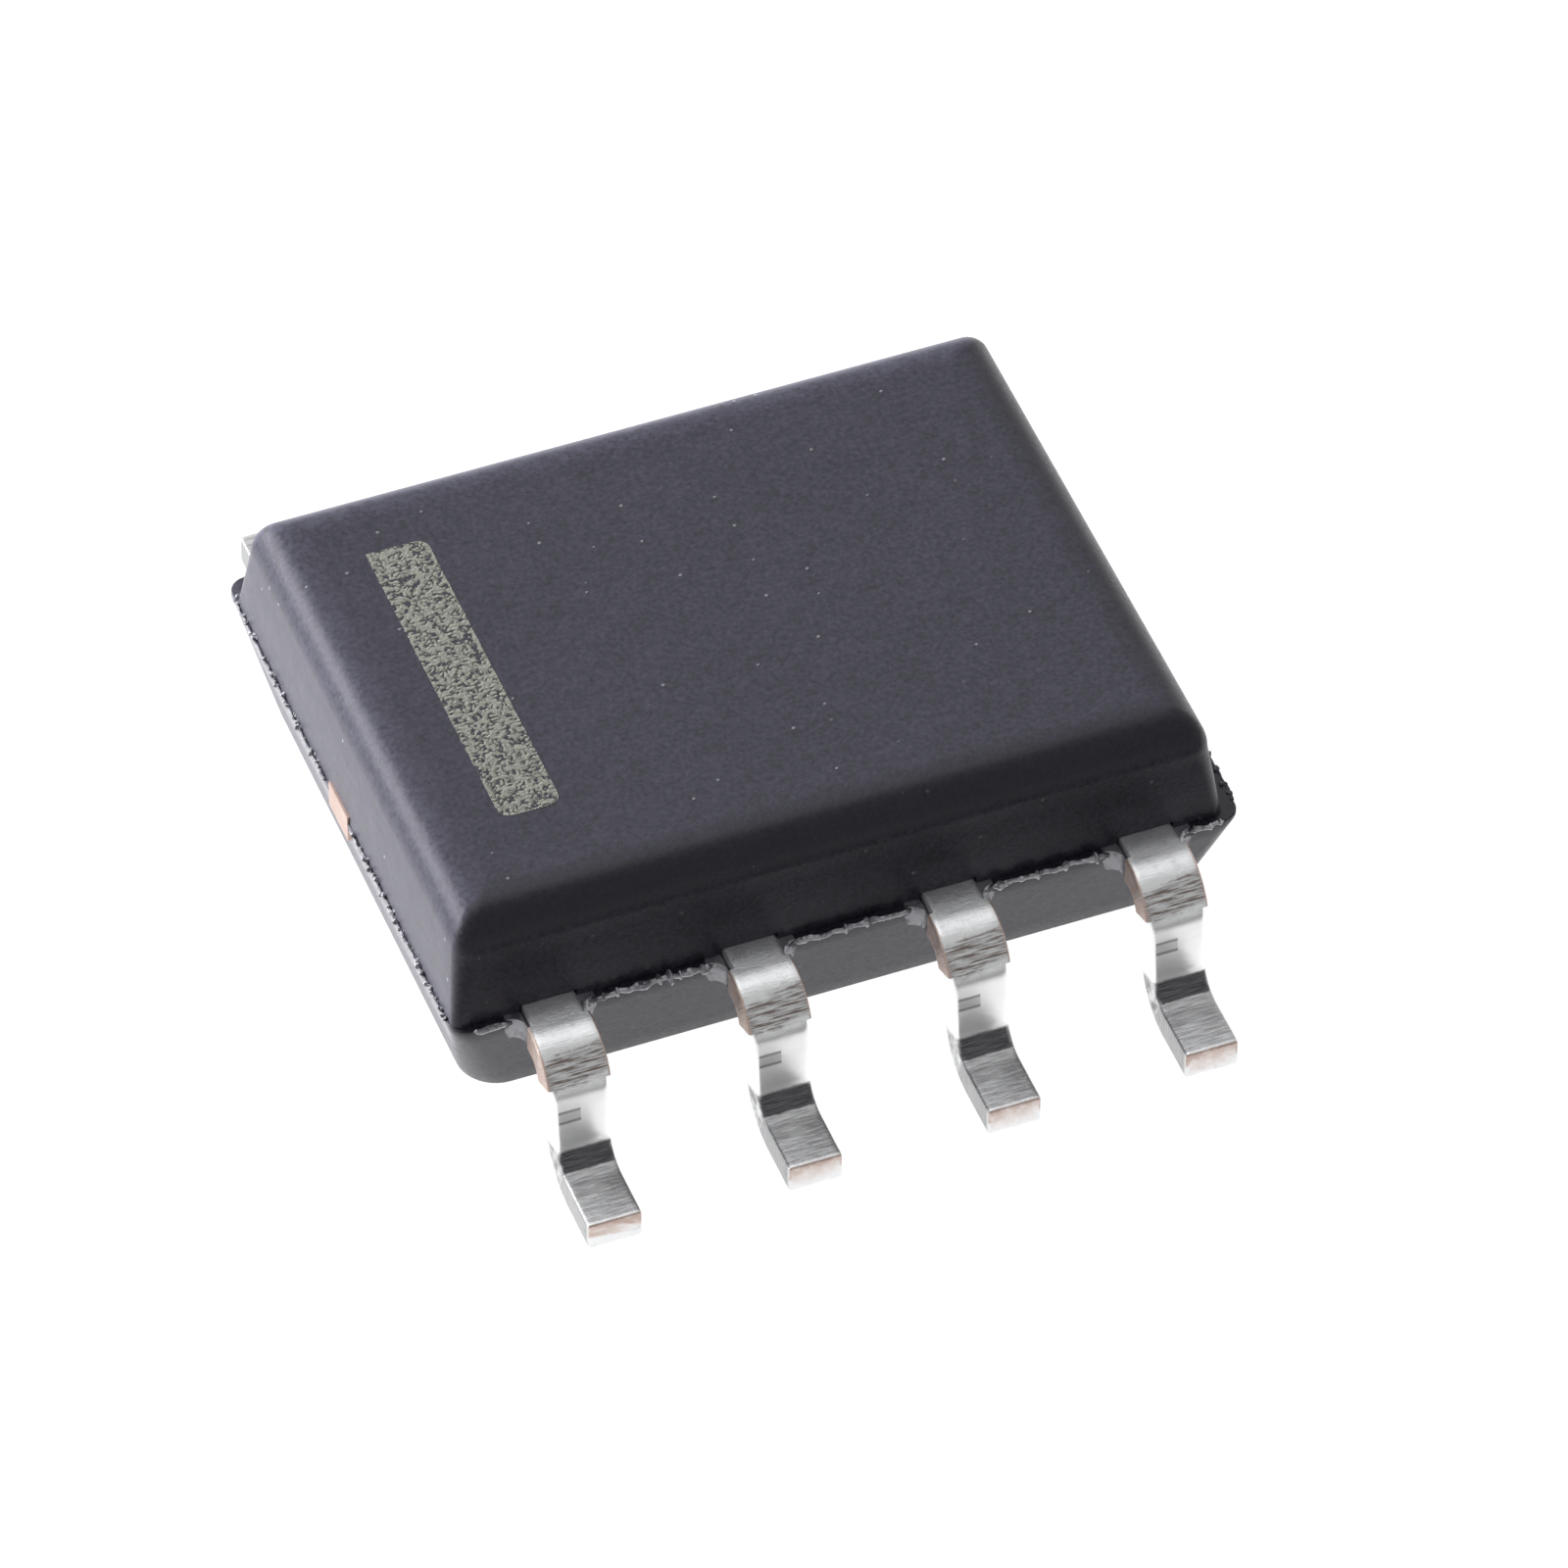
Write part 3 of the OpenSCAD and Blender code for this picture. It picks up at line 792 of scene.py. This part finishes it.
def web_solid(size, lead, side, seed):
    """Resin in the corner of ledge and lead: concave outside, ragged, thinner below."""
    start = lead.width / 2 + size.slit * (1.0 if side < 0 else 0.4)
    inner = size.ledge_w / 2 - WEB_SUNK
    outer = min(lead_path_start(lead) - WEB_CLEAR, size.ledge_w / 2 + size.web_reach)
    frame_bottom = LEAD_HIGH.z - lead.thickness
    rings = []
    levels = 6
    arc_steps = 12
    for i in range(levels + 1):
        up = i / levels
        z = frame_bottom + (size.parting_z + WEB_RISE - frame_bottom) * up
        shrink = 0.035 * (1 - up) ** 2 + 0.02 * up**6
        reach = size.web_reach - shrink
        tip = outer - shrink
        ring = [Vector((start, -inner, z)), Vector((start, -tip, z))]
        for j in range(arc_steps + 1):
            a = j / arc_steps * math.pi / 2
            across = start + reach * (1 - math.cos(a))
            out = tip - (tip - size.ledge_w / 2 + 0.01) * math.sin(a)
            rag = 0.006 * wobble(j * 0.9, i * 1.3, seed)
            ring.append(Vector((across + rag, -out - rag, z + rag * 0.5)))
        ring.append(Vector((start + reach, -inner, z)))
        rings.append([(side * p.x, p.y, p.z) for p in ring])
    points, faces = loft(rings)
    if side < 0:
        return points, faces
    return points, [tuple(reversed(face)) for face in faces]


def flash_strip(start, end, outward, height, seed):
    """A ragged bead of flash along a straight stretch of the rim."""
    start, end = Vector(start), Vector(end)
    run = (end - start).length
    direction = (end - start) / run
    outward = Vector(outward)
    up = Vector((0, 0, 1))
    stations = max(4, int(run / BEAD_STEP))
    sides = 7
    rings = []
    for i in range(stations + 1):
        t = i / stations * run
        swell = max(0.0, wobble(t * 9.0, seed)) ** 2
        lump = max(0.0, wobble(t * 26.0, seed + 5.0) - 0.28)
        radius = height * (0.5 + 1.3 * swell + 2.2 * lump)
        ends = min(1.0, i / 3 + 0.15, (stations - i) / 3 + 0.15)
        middle = start + direction * t
        middle += outward * height * (0.2 + 0.55 * wobble(t * 14.0, seed + 9.0))
        middle += up * height * 0.35 * wobble(t * 18.0, seed + 13.0)
        ring = []
        for j in range(sides):
            a = j / sides * math.tau
            ragged = radius * ends * (1 + 0.22 * wobble(t * 60.0, j * 1.7, seed))
            ring.append(middle + ragged * (math.cos(a) * outward + math.sin(a) * up))
        rings.append(ring)
    return loft(rings)


def lead_path_start(lead):
    """Where the trimmed dam bar begins, outwards from the middle of the body."""
    return lead_layout(lead).shoulder_s - lead.stub_flat_l


def crumb(at, size_mm, seed, sides=8, levels=6):
    """A small lump of resin."""
    rings = []
    for i in range(1, levels):
        rise = i / levels * math.pi - math.pi / 2
        ring = []
        for j in range(sides):
            a = j / sides * math.tau
            r = size_mm * (1 + 0.45 * wobble(i * 0.8, j * 0.9, seed))
            out = r * math.cos(rise)
            ring.append((at[0] + out * math.cos(a), at[1] + out * math.sin(a),
                         at[2] + r * 0.7 * math.sin(rise)))
        rings.append(ring)
    return loft(rings)


class CHIP_OT_flash(bpy.types.Operator):
    """Add the resin webs beside the leads and the ragged flash along the rim"""

    bl_idname = "chip.flash"
    bl_label = "Flash and webs"

    def execute(self, context):
        scene = context.scene
        size, lead = measures(scene.chip_mould), measures(scene.chip_lead)
        rng = random.Random(FLASH_SEED)
        webs, beads, end_beads, crumbs = [], [], [], []
        half_l, half_w = MOULD_HIGH.x, size.ledge_w / 2
        z = size.parting_z - FLASH_SUNK
        gap = lead.width / 2 + size.web_reach * 0.8
        end_y = half_w - size.ledge_corner_r * 1.15
        for turn in (0, math.pi):
            edges = [-half_l + size.ledge_corner_r]
            for pin in range(1, ROW_PINS + 1):
                x = pin_x(pin, lead.pitch)
                edges += [x - gap, x + gap]
                for side in (-1, 1):
                    web = web_solid(size, lead, side, rng.uniform(0, 90))
                    webs.append(placed(web, turn, (x, 0, 0)))
                for _ in range(LEAD_CRUMBS):
                    place = (x + lead.width / 2 + rng.uniform(0.02, 0.1),
                             -half_w - rng.uniform(-0.01, 0.05), z + rng.uniform(-0.01, 0.015))
                    lump = crumb(place, rng.uniform(*LEAD_CRUMB_R), rng.uniform(0, 90))
                    crumbs.append(placed(lump, turn))
            edges.append(half_l - size.ledge_corner_r)
            for left, right in zip(edges[::2], edges[1::2]):
                run = (left, -half_w, z), (right, -half_w, z)
                bead = flash_strip(*run, (0, -1, 0), SIDE_FLASH_H, rng.uniform(0, 90))
                beads.append(placed(bead, turn))
            for _ in range(END_CRUMBS):
                place = (-half_l + rng.uniform(-0.008, 0.03),
                         rng.choice((-1, 1)) * rng.uniform(CRUMBS_FROM_Y, end_y),
                         z + rng.uniform(-0.004, 0.02))
                lump = crumb(place, rng.uniform(*END_CRUMB_R), rng.uniform(0, 90))
                end_beads.append(placed(lump, turn))
            for low, high in ((-end_y, -BEADS_FROM_Y), (BEADS_FROM_Y, end_y)):
                run = (-half_l, low, z), (-half_l, high, z)
                bead = flash_strip(*run, (-1, 0, 0), END_FLASH_H, rng.uniform(0, 90))
                end_beads.append(placed(bead, turn))
        colours = scene.chip_colours
        # Where the end walls get their painted sheen.
        painted_light = size.shift_x, painted_sheen_ends(size)
        # The flash, webs and crumbs are painted pale, a painted reflection.
        dull = resin_finish(colours, *painted_light, 0.8, 0.0, "resin_flash")
        bright = resin_finish(colours, *painted_light, 0.95, 0.4, "resin_film")
        bleed = resin_finish(colours, *painted_light, 0.85, 0.3, "resin_bleed")
        seat(mesh_piece("resin_webs", *joined(webs), bleed), "mould_compound")
        seat(mesh_piece("side_flash", *joined(beads), bright), "mould_compound")
        seat(mesh_piece("end_flash", *joined(end_beads), dull), "mould_compound")
        seat(mesh_piece("resin_crumbs", *joined(crumbs), bright), "mould_compound")
        return {"FINISHED"}


# ---------------------------------------------------------------- leads


def lead_layout(lead):
    """Bend centres and stretches of a lead's centre line, seen from the side."""
    tip = -LEAD_LOW.y
    frame_bottom = LEAD_HIGH.z - lead.thickness
    toe_s, toe_z = tip - lead.foot_l, lead.thickness + lead.toe_r
    shoulder_z = frame_bottom - lead.shoulder_r
    drop = shoulder_z - toe_z
    reach = lead.shoulder_r + lead.thickness + lead.toe_r
    gap = (reach + drop * math.sin(lead.tilt)) / math.cos(lead.tilt)
    return SimpleNamespace(
        toe_s=toe_s,
        toe_z=toe_z,
        shoulder_s=toe_s - gap,
        shoulder_z=shoulder_z,
        riser=gap * math.sin(lead.tilt) + drop * math.cos(lead.tilt),
        frame_z=frame_bottom + lead.thickness / 2,
        bend=math.pi / 2 - lead.tilt,
    )


def lead_stretches(lead):
    """Lengths along the centre line at which each stretch of a lead ends."""
    way = lead_layout(lead)
    half = lead.thickness / 2
    flat = way.shoulder_s - lead.root_s
    shoulder = flat + (lead.shoulder_r + half) * way.bend
    riser = shoulder + way.riser
    toe = riser + (lead.toe_r + half) * way.bend
    end = toe + lead.foot_l
    return SimpleNamespace(flat=flat, shoulder=shoulder, riser=riser, toe=toe, end=end)


def lead_station(lead, way, marks, along):
    """Place (outwards, up) and outer normal of the centre line at a length along it."""
    half = lead.thickness / 2
    if along < marks.flat:
        return (lead.root_s + along, way.frame_z), (0.0, 1.0)
    if along >= marks.toe:
        return (way.toe_s + along - marks.toe, half), (0.0, 1.0)
    down = 0.0
    centre_s, centre_z, radius = way.shoulder_s, way.shoulder_z, lead.shoulder_r + half
    if along < marks.shoulder:
        a = math.pi / 2 - (along - marks.flat) / radius
    elif along < marks.riser:
        a, down = lead.tilt, along - marks.shoulder
    else:
        centre_s, centre_z, radius = way.toe_s, way.toe_z, -lead.toe_r - half
        a = lead.tilt - (along - marks.riser) / radius
    ns, nz = math.cos(a), math.sin(a)
    return (centre_s + radius * ns + down * nz, centre_z + radius * nz - down * ns), (ns, nz)


def strip_section(half_w, half_t, radius):
    """Rounded section of the strip as places across and outwards, clockwise from its upper right."""
    corner, side, flat = 3, 5, 14
    ring = rounded_ring(half_w, half_t, radius, corner_steps=corner, side_steps=(side, flat))
    first = 2 * corner + side + 1
    return [(x, y) for x, y, _ in reversed(ring[first:] + ring[:first])]


def lead_stations(lead, marks):
    """Lengths along the strip at which it gets a ring, with the half width there."""
    half_t = lead.thickness / 2
    stub_start = marks.flat - lead.stub_flat_l
    stub_end = marks.flat + (math.pi / 2 - lead.stub_end) * (lead.shoulder_r + half_t)
    count = int(marks.end / STATION_STEP)
    narrow, wide = lead.width / 2, lead.stub_w / 2
    stations = []
    for i in range(count + 1):
        along = i / count * (marks.end - lead.edge_r)
        half = wide if stub_start < along < stub_end else narrow
        stations.append((along, half))
    for edge, inner in ((stub_start, 1), (stub_end, -1)):
        stations.append((edge - inner * STUB_STEP, narrow))
        stations.append((edge + inner * STUB_STEP, wide))
    return sorted(stations)


def strip_ripple(marks, pin, across, along, on_top):
    """How far the plating stands out, with grooves over the shoulder bend."""
    ripple = 0.0016 * wobble(across * 9, along * 7, pin * 3.1)
    ripple += 0.0007 * wobble(across * 30, along * 30, pin * 7.7)
    if on_top:
        skew = along + across * 0.12 + 0.012 * wobble(across * 8, pin * 2.3)
        over_bend = max(0.0, 1 - abs(skew - (marks.flat + marks.shoulder) / 2) / 0.16)
        ripple -= 0.0022 * over_bend * max(0.0, wobble(skew * 75, across * 1.5, pin * 5.0))
    return ripple


def lead_solid(lead, pin):
    """The formed strip of one lead from its wide inner end to the tip of its foot."""
    way, marks = lead_layout(lead), lead_stretches(lead)
    half_t = lead.thickness / 2
    rings, notes = [], []
    stations = lead_stations(lead, marks)
    end_steps = 4
    for i in range(1, end_steps + 1):
        along = marks.end - lead.edge_r * (1 - math.sin(i / end_steps * math.pi / 2))
        stations.append((along, lead.width / 2))
    for along, half_w in stations:
        (out, z), (ns, nz) = lead_station(lead, way, marks, along)
        past = max(0.0, along - (marks.end - lead.edge_r)) / lead.edge_r
        shrink = lead.edge_r * 0.7 * (1 - math.sqrt(max(0.0, 1 - past * past)))
        ring = []
        section = strip_section(half_w - shrink, half_t - shrink, lead.edge_r - shrink * 0.6)
        for across, up in section:
            ripple = strip_ripple(marks, pin, across, along, up > half_t * 0.6)
            lift = up + ripple * (1 if up > 0 else -1)
            ring.append((across, -(out + lift * ns), z + lift * nz))
            is_cut = abs(across) > half_w - lead.edge_r * 0.8 and half_w > lead.width / 2 + 0.001
            is_tip = along > marks.end - lead.edge_r * 0.5 and up > -half_t * 0.1
            notes.append((across, along, 1.0 if is_cut or is_tip else 0.0))
        rings.append(ring)
    return *loft(rings), notes


def finger_solid(lead, pin):
    """The wide inner end of a lead, inside the moulding."""
    frame_top = LEAD_HIGH.z
    low_z = frame_top - lead.thickness
    x = pin_x(pin, lead.pitch)
    node_low, node_high = (in_mm(c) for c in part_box(f"lead_{pin}"))
    inner = lead.corner_in if pin in (1, ROW_PINS) else lead.finger_in
    low = (node_low.x - x, -lead.root_s - FINGER_OVERLAP, low_z)
    high = (node_high.x - x, -inner, frame_top)
    return box_mesh(low, high)


class CHIP_OT_leads(bpy.types.Operator):
    """Build the eight formed and plated leads"""

    bl_idname = "chip.leads"
    bl_label = "Leads"

    def execute(self, context):
        scene = context.scene
        lead = measures(scene.chip_lead)
        marks = lead_stretches(lead)
        bend = marks.shoulder - marks.flat
        finish = tin_finish(
            scene.chip_colours,
            SimpleNamespace(
                crack_start=marks.flat + bend * 0.38,
                crack_end=marks.flat + bend * 0.78,
                toe_start=marks.riser + 0.07,
                toe_end=marks.riser + 0.29,
                root_end=marks.flat - lead.stub_flat_l * 2.5,
                pad_start=marks.shoulder + 0.07,
                pad_end=marks.shoulder + 0.17,
                pad_right=-0.01,
                half_w=lead.width / 2,
                foot_end=marks.end - lead.edge_r,
            ),
        )
        for pin in PINS:
            front = pin if pin <= ROW_PINS else pin - ROW_PINS
            points, faces, notes = lead_solid(lead, pin)
            finger = finger_solid(lead, front)
            notes += [(0.0, 0.0, 0.0)] * len(finger[0])
            solid = joined([(points, faces), finger])
            turned = placed(solid, 0 if pin == front else math.pi, (pin_x(front, lead.pitch), 0, 0))
            strip = {"strip": ("FLOAT_VECTOR", [v for note in notes for v in note])}
            piece = mesh_piece(f"formed_lead_{pin}", *turned, finish, attributes=strip)
            seat(piece, "tin_plate", f"lead_{pin}")
        return {"FINISHED"}


# ---------------------------------------------------------------- marking


def round_inset(y_share, round_share):
    """How far a rounded corner draws the side of the bar in, from 0 to 1."""
    near = max(0.0, abs(y_share) - (1 - round_share)) / round_share
    return 1 - math.sqrt(max(0.0, 1 - near * near))


def mark_paleness(x, y, edge):
    """Paleness of the bar from 0 to 1 at a place, given its distance from the bar's edge."""
    worm = max(0.0, 1 - abs(wobble(x * 34, y * 34, 2.0)) / 0.25)
    pit = worm * min(1.0, max(0.0, 0.7 + 2.0 * wobble(x * 21, y * 21, 6.0)))
    rim = max(0.0, 1 - edge / 0.014)
    grain = 0.5 + 0.5 * wobble(x * 48, y * 44, 5.0)
    groove = max(0.0, 1 - abs(edge - 0.045) / 0.01) * max(0.0, 0.4 + wobble(y * 20, 4.0))
    return min(1.0, max(0.0, 1.0 + 0.7 * (grain - 0.5) + 0.35 * rim - 1.4 * pit - 0.6 * groove))


class CHIP_OT_mark(bpy.types.Operator):
    """Roughen the pale bar beside pin 1, with the pits that a laser leaves"""

    bl_idname = "chip.mark"
    bl_label = "Pin 1 bar"

    def execute(self, context):
        low, high = MARK_LOW, MARK_HIGH
        columns, rows = 62, 380
        half_y, mid_y = (high.y - low.y) / 2, (high.y + low.y) / 2
        under, over, burn = [], [], []
        for j in range(rows + 1):
            share = 2 * j / rows - 1
            y = mid_y + half_y * share
            inset = MARK_CORNER_R * round_inset(share, MARK_CORNER_R / half_y)
            left = low.x + (inset if share < 0 else 0.0) + 0.004 * wobble(y * 16, 3.0)
            right = high.x - inset + 0.004 * wobble(y * 16, 8.0)
            for i in range(columns + 1):
                x = left + (right - left) * i / columns
                side_edge = min(i, columns - i) / columns * (right - left)
                paleness = mark_paleness(x, y, min(side_edge, half_y - abs(y - mid_y)))
                under.append((x, y, high.z - MARK_SKIN))
                over.append((x, y, high.z + MARK_PROUD * (paleness - 0.25)))
                burn.append(paleness)
        points, burn = under + over, [0.5] * len(under) + burn
        width = columns + 1
        layer_size = width * (rows + 1)
        faces = []
        for j in range(rows):
            for i in range(columns):
                a = j * width + i
                faces.append((a, a + width, a + width + 1, a + 1))
                b = a + layer_size
                faces.append((b, b + 1, b + width + 1, b + width))
        border = list(range(width)) + [j * width + columns for j in range(1, rows + 1)]
        border += [rows * width + i for i in range(columns - 1, -1, -1)]
        border += [j * width for j in range(rows - 1, 0, -1)]
        for a, b in zip(border, border[1:] + border[:1]):
            faces.append((a, b, b + layer_size, a + layer_size))
        finish = mark_finish(context.scene.chip_colours)
        bar = mesh_piece("laser_bar", points, faces, finish, attributes={"burn": ("FLOAT", burn)})
        seat(bar, "laser_mark", "pin_1_mark")
        return {"FINISHED"}


# ---------------------------------------------------------------- inside


class CHIP_OT_inside(bpy.types.Operator):
    """Finish the die, its adhesive, the paddle and the bond wires"""

    bl_idname = "chip.inside"
    bl_label = "Inner pieces"

    def execute(self, context):
        colours = context.scene.chip_colours
        copper = metal_finish("bare_copper", colours.copper, 0.42, 1.0)
        gold = metal_finish("bond_wire", colours.gold, 0.25, 4.0)
        finishes = {f"bond_wire_{pin}": gold for pin in PINS}
        finishes["die_paddle"] = copper
        finishes["die"] = silicon_finish(colours)
        finishes["die_attach"] = epoxy_finish(colours)
        for node, finish in finishes.items():
            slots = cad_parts[node].material_slots
            if not slots:
                raise RuntimeError(f"{node} has no material slot")
            for material_slot in slots:
                material_slot.link = "OBJECT"
                material_slot.material = finish
        return {"FINISHED"}


# ---------------------------------------------------------------- studio


def view_axes(studio, roll):
    """The camera's directions at a roll: right, up and back."""
    azimuth, elevation = studio.azimuth, studio.elevation
    right = Vector((math.cos(azimuth), math.sin(azimuth), 0))
    ahead = Vector((-math.sin(azimuth), math.cos(azimuth), 0))
    back = Vector((0, 0, math.sin(elevation))) - math.cos(elevation) * ahead
    up = back.cross(right)
    c, s = math.cos(roll), math.sin(roll)
    return c * right + s * up, c * up - s * right, back


class CHIP_OT_camera(bpy.types.Operator):
    """Set the camera at its viewing angle"""

    bl_idname = "chip.camera"
    bl_label = "Camera"

    def execute(self, context):
        studio = measures(context.scene.chip_studio)
        right, up, back = view_axes(studio, studio.roll)
        level_right, level_up, _ = view_axes(studio, 0.0)
        aim = studio.aim_right * level_right + studio.aim_up * level_up
        camera = bpy.data.objects.new("chip_camera", bpy.data.cameras.new("chip_camera"))
        context.scene.collection.objects.link(camera)
        camera.matrix_world = Matrix((right, up, back)).transposed().to_4x4()
        camera.location = (aim + studio.distance * back) * MM
        camera.data.lens = studio.lens
        camera.data.sensor_width = 36.0
        camera.data.clip_start = 0.001
        camera.data.clip_end = 2.0
        context.scene.camera = camera
        return {"FINISHED"}


def add_lamp(scene, name, radiance, direction, width, height, in_gloss):
    """A soft panel that shines at the package, on its gloss alone or on its matte share alone."""
    data = bpy.data.lights.new(name, "AREA")
    data.shape = "RECTANGLE"
    data.size, data.size_y = width, height
    data.energy = radiance * math.pi * width * height
    lamp = bpy.data.objects.new(name, data)
    scene.collection.objects.link(lamp)
    way = Vector(direction).normalized()
    lamp.location = way * LAMP_DISTANCE
    lamp.rotation_euler = way.to_track_quat("Z", "Y").to_euler()
    lamp.visible_camera = False
    lamp.visible_glossy = in_gloss
    lamp.visible_diffuse = not in_gloss


def light_paths(tree):
    """Three links: 1 for rays from the camera, from gloss and through glass."""
    kinds = ("Is Camera Ray", "Is Glossy Ray", "Is Transmission Ray")
    return [tree.node("ShaderNodeLightPath", None, None, kind) for kind in kinds]


class CHIP_OT_stage(bpy.types.Operator):
    """Lay the pale floor, hang the lamps and set the sky"""

    bl_idname = "chip.stage"
    bl_label = "Stage"

    def execute(self, context):
        scene = context.scene
        studio = scene.chip_studio
        scene.view_settings.view_transform = "Standard"

        material, tree, at = finish_named("floor_paper")
        fibre = tree.cloud(at, 6.0, 4.0)
        paper = tree.mix(fibre * 0.3, (0.26, 0.26, 0.26), (0.24, 0.24, 0.24))
        lit = tree.node("ShaderNodeBsdfDiffuse", None, {"Color": paper})
        _, depth, _ = tree.axes(at)
        camera, gloss, glass = light_paths(tree)
        near, far = -studio.flag_near / MM, -studio.flag_far / MM
        flag = (1 - depth.between(near - FLAG_SOFT, near + FLAG_SOFT)) * FLAG_DEPTH
        beyond = (1 - depth.between(far - FLAG_FADE, far + FLAG_FADE)) * studio.gloss_front
        shine = gloss * (1 - flag + beyond) * FLOOR_SHINE
        strength = camera.larger(glass).larger(shine)
        glow = tree.node("ShaderNodeEmission", None, {"Strength": strength})
        both = tree.node("ShaderNodeAddShader", None, {0: lit, 1: glow})
        tree.node("ShaderNodeOutputMaterial", None, {"Surface": both})
        signs = (-1, -1), (1, -1), (1, 1), (-1, 1)
        corners = [(x * FLOOR_REACH, y * FLOOR_REACH, FLOOR_Z) for x, y in signs]
        floor = mesh_piece("floor", corners, [(0, 1, 2, 3)], material)

        world = bpy.data.worlds.new("soft_sky")
        scene.world = world
        tree = Tree(world)
        direction = tree.node("ShaderNodeTexCoord", output="Generated")
        _, depth, _ = tree.axes(direction)
        camera, gloss, glass = light_paths(tree)
        behind = depth.between(*BEHIND)
        room = behind * studio.sky + FILL
        reflected = behind * studio.gloss_back + (1 - behind) * studio.gloss_front
        strength = camera.larger(glass).larger((1 - gloss) * room + gloss * reflected)
        sky = tree.node("ShaderNodeBackground", None, {"Color": (1, 1, 1, 1), "Strength": strength})
        tree.node("ShaderNodeOutputWorld", None, {"Surface": sky})

        for name, *shape in LAMPS:
            add_lamp(scene, f"{name}_panel", getattr(studio, name), *shape)
        return {"FINISHED"}


class CHIP_PT_panel(bpy.types.Panel):
    """Lists the steps in the order in which they run"""

    bl_idname = "CHIP_PT_panel"
    bl_label = "Chip package"
    bl_space_type = "VIEW_3D"
    bl_region_type = "UI"
    bl_category = "Chip"

    def draw(self, context):
        for step in STEPS:
            self.layout.operator(step.bl_idname)


STEPS = (
    CHIP_OT_camera,
    CHIP_OT_mould,
    CHIP_OT_flash,
    CHIP_OT_leads,
    CHIP_OT_mark,
    CHIP_OT_inside,
    CHIP_OT_stage,
)
CLASSES = (*SETTINGS.values(), *STEPS, CHIP_PT_panel)


def register():
    for cls in CLASSES:
        bpy.utils.register_class(cls)
    for name, group in SETTINGS.items():
        setattr(bpy.types.Scene, name, bpy.props.PointerProperty(type=group))


def unregister():
    for name in SETTINGS:
        delattr(bpy.types.Scene, name)
    for cls in reversed(CLASSES):
        bpy.utils.unregister_class(cls)


def main():
    register()
    bpy.ops.chip.camera()
    bpy.ops.chip.mould()
    bpy.ops.chip.flash()
    bpy.ops.chip.leads()
    bpy.ops.chip.mark()
    bpy.ops.chip.inside()
    bpy.ops.chip.stage()


if __name__ == "__main__":
    main()
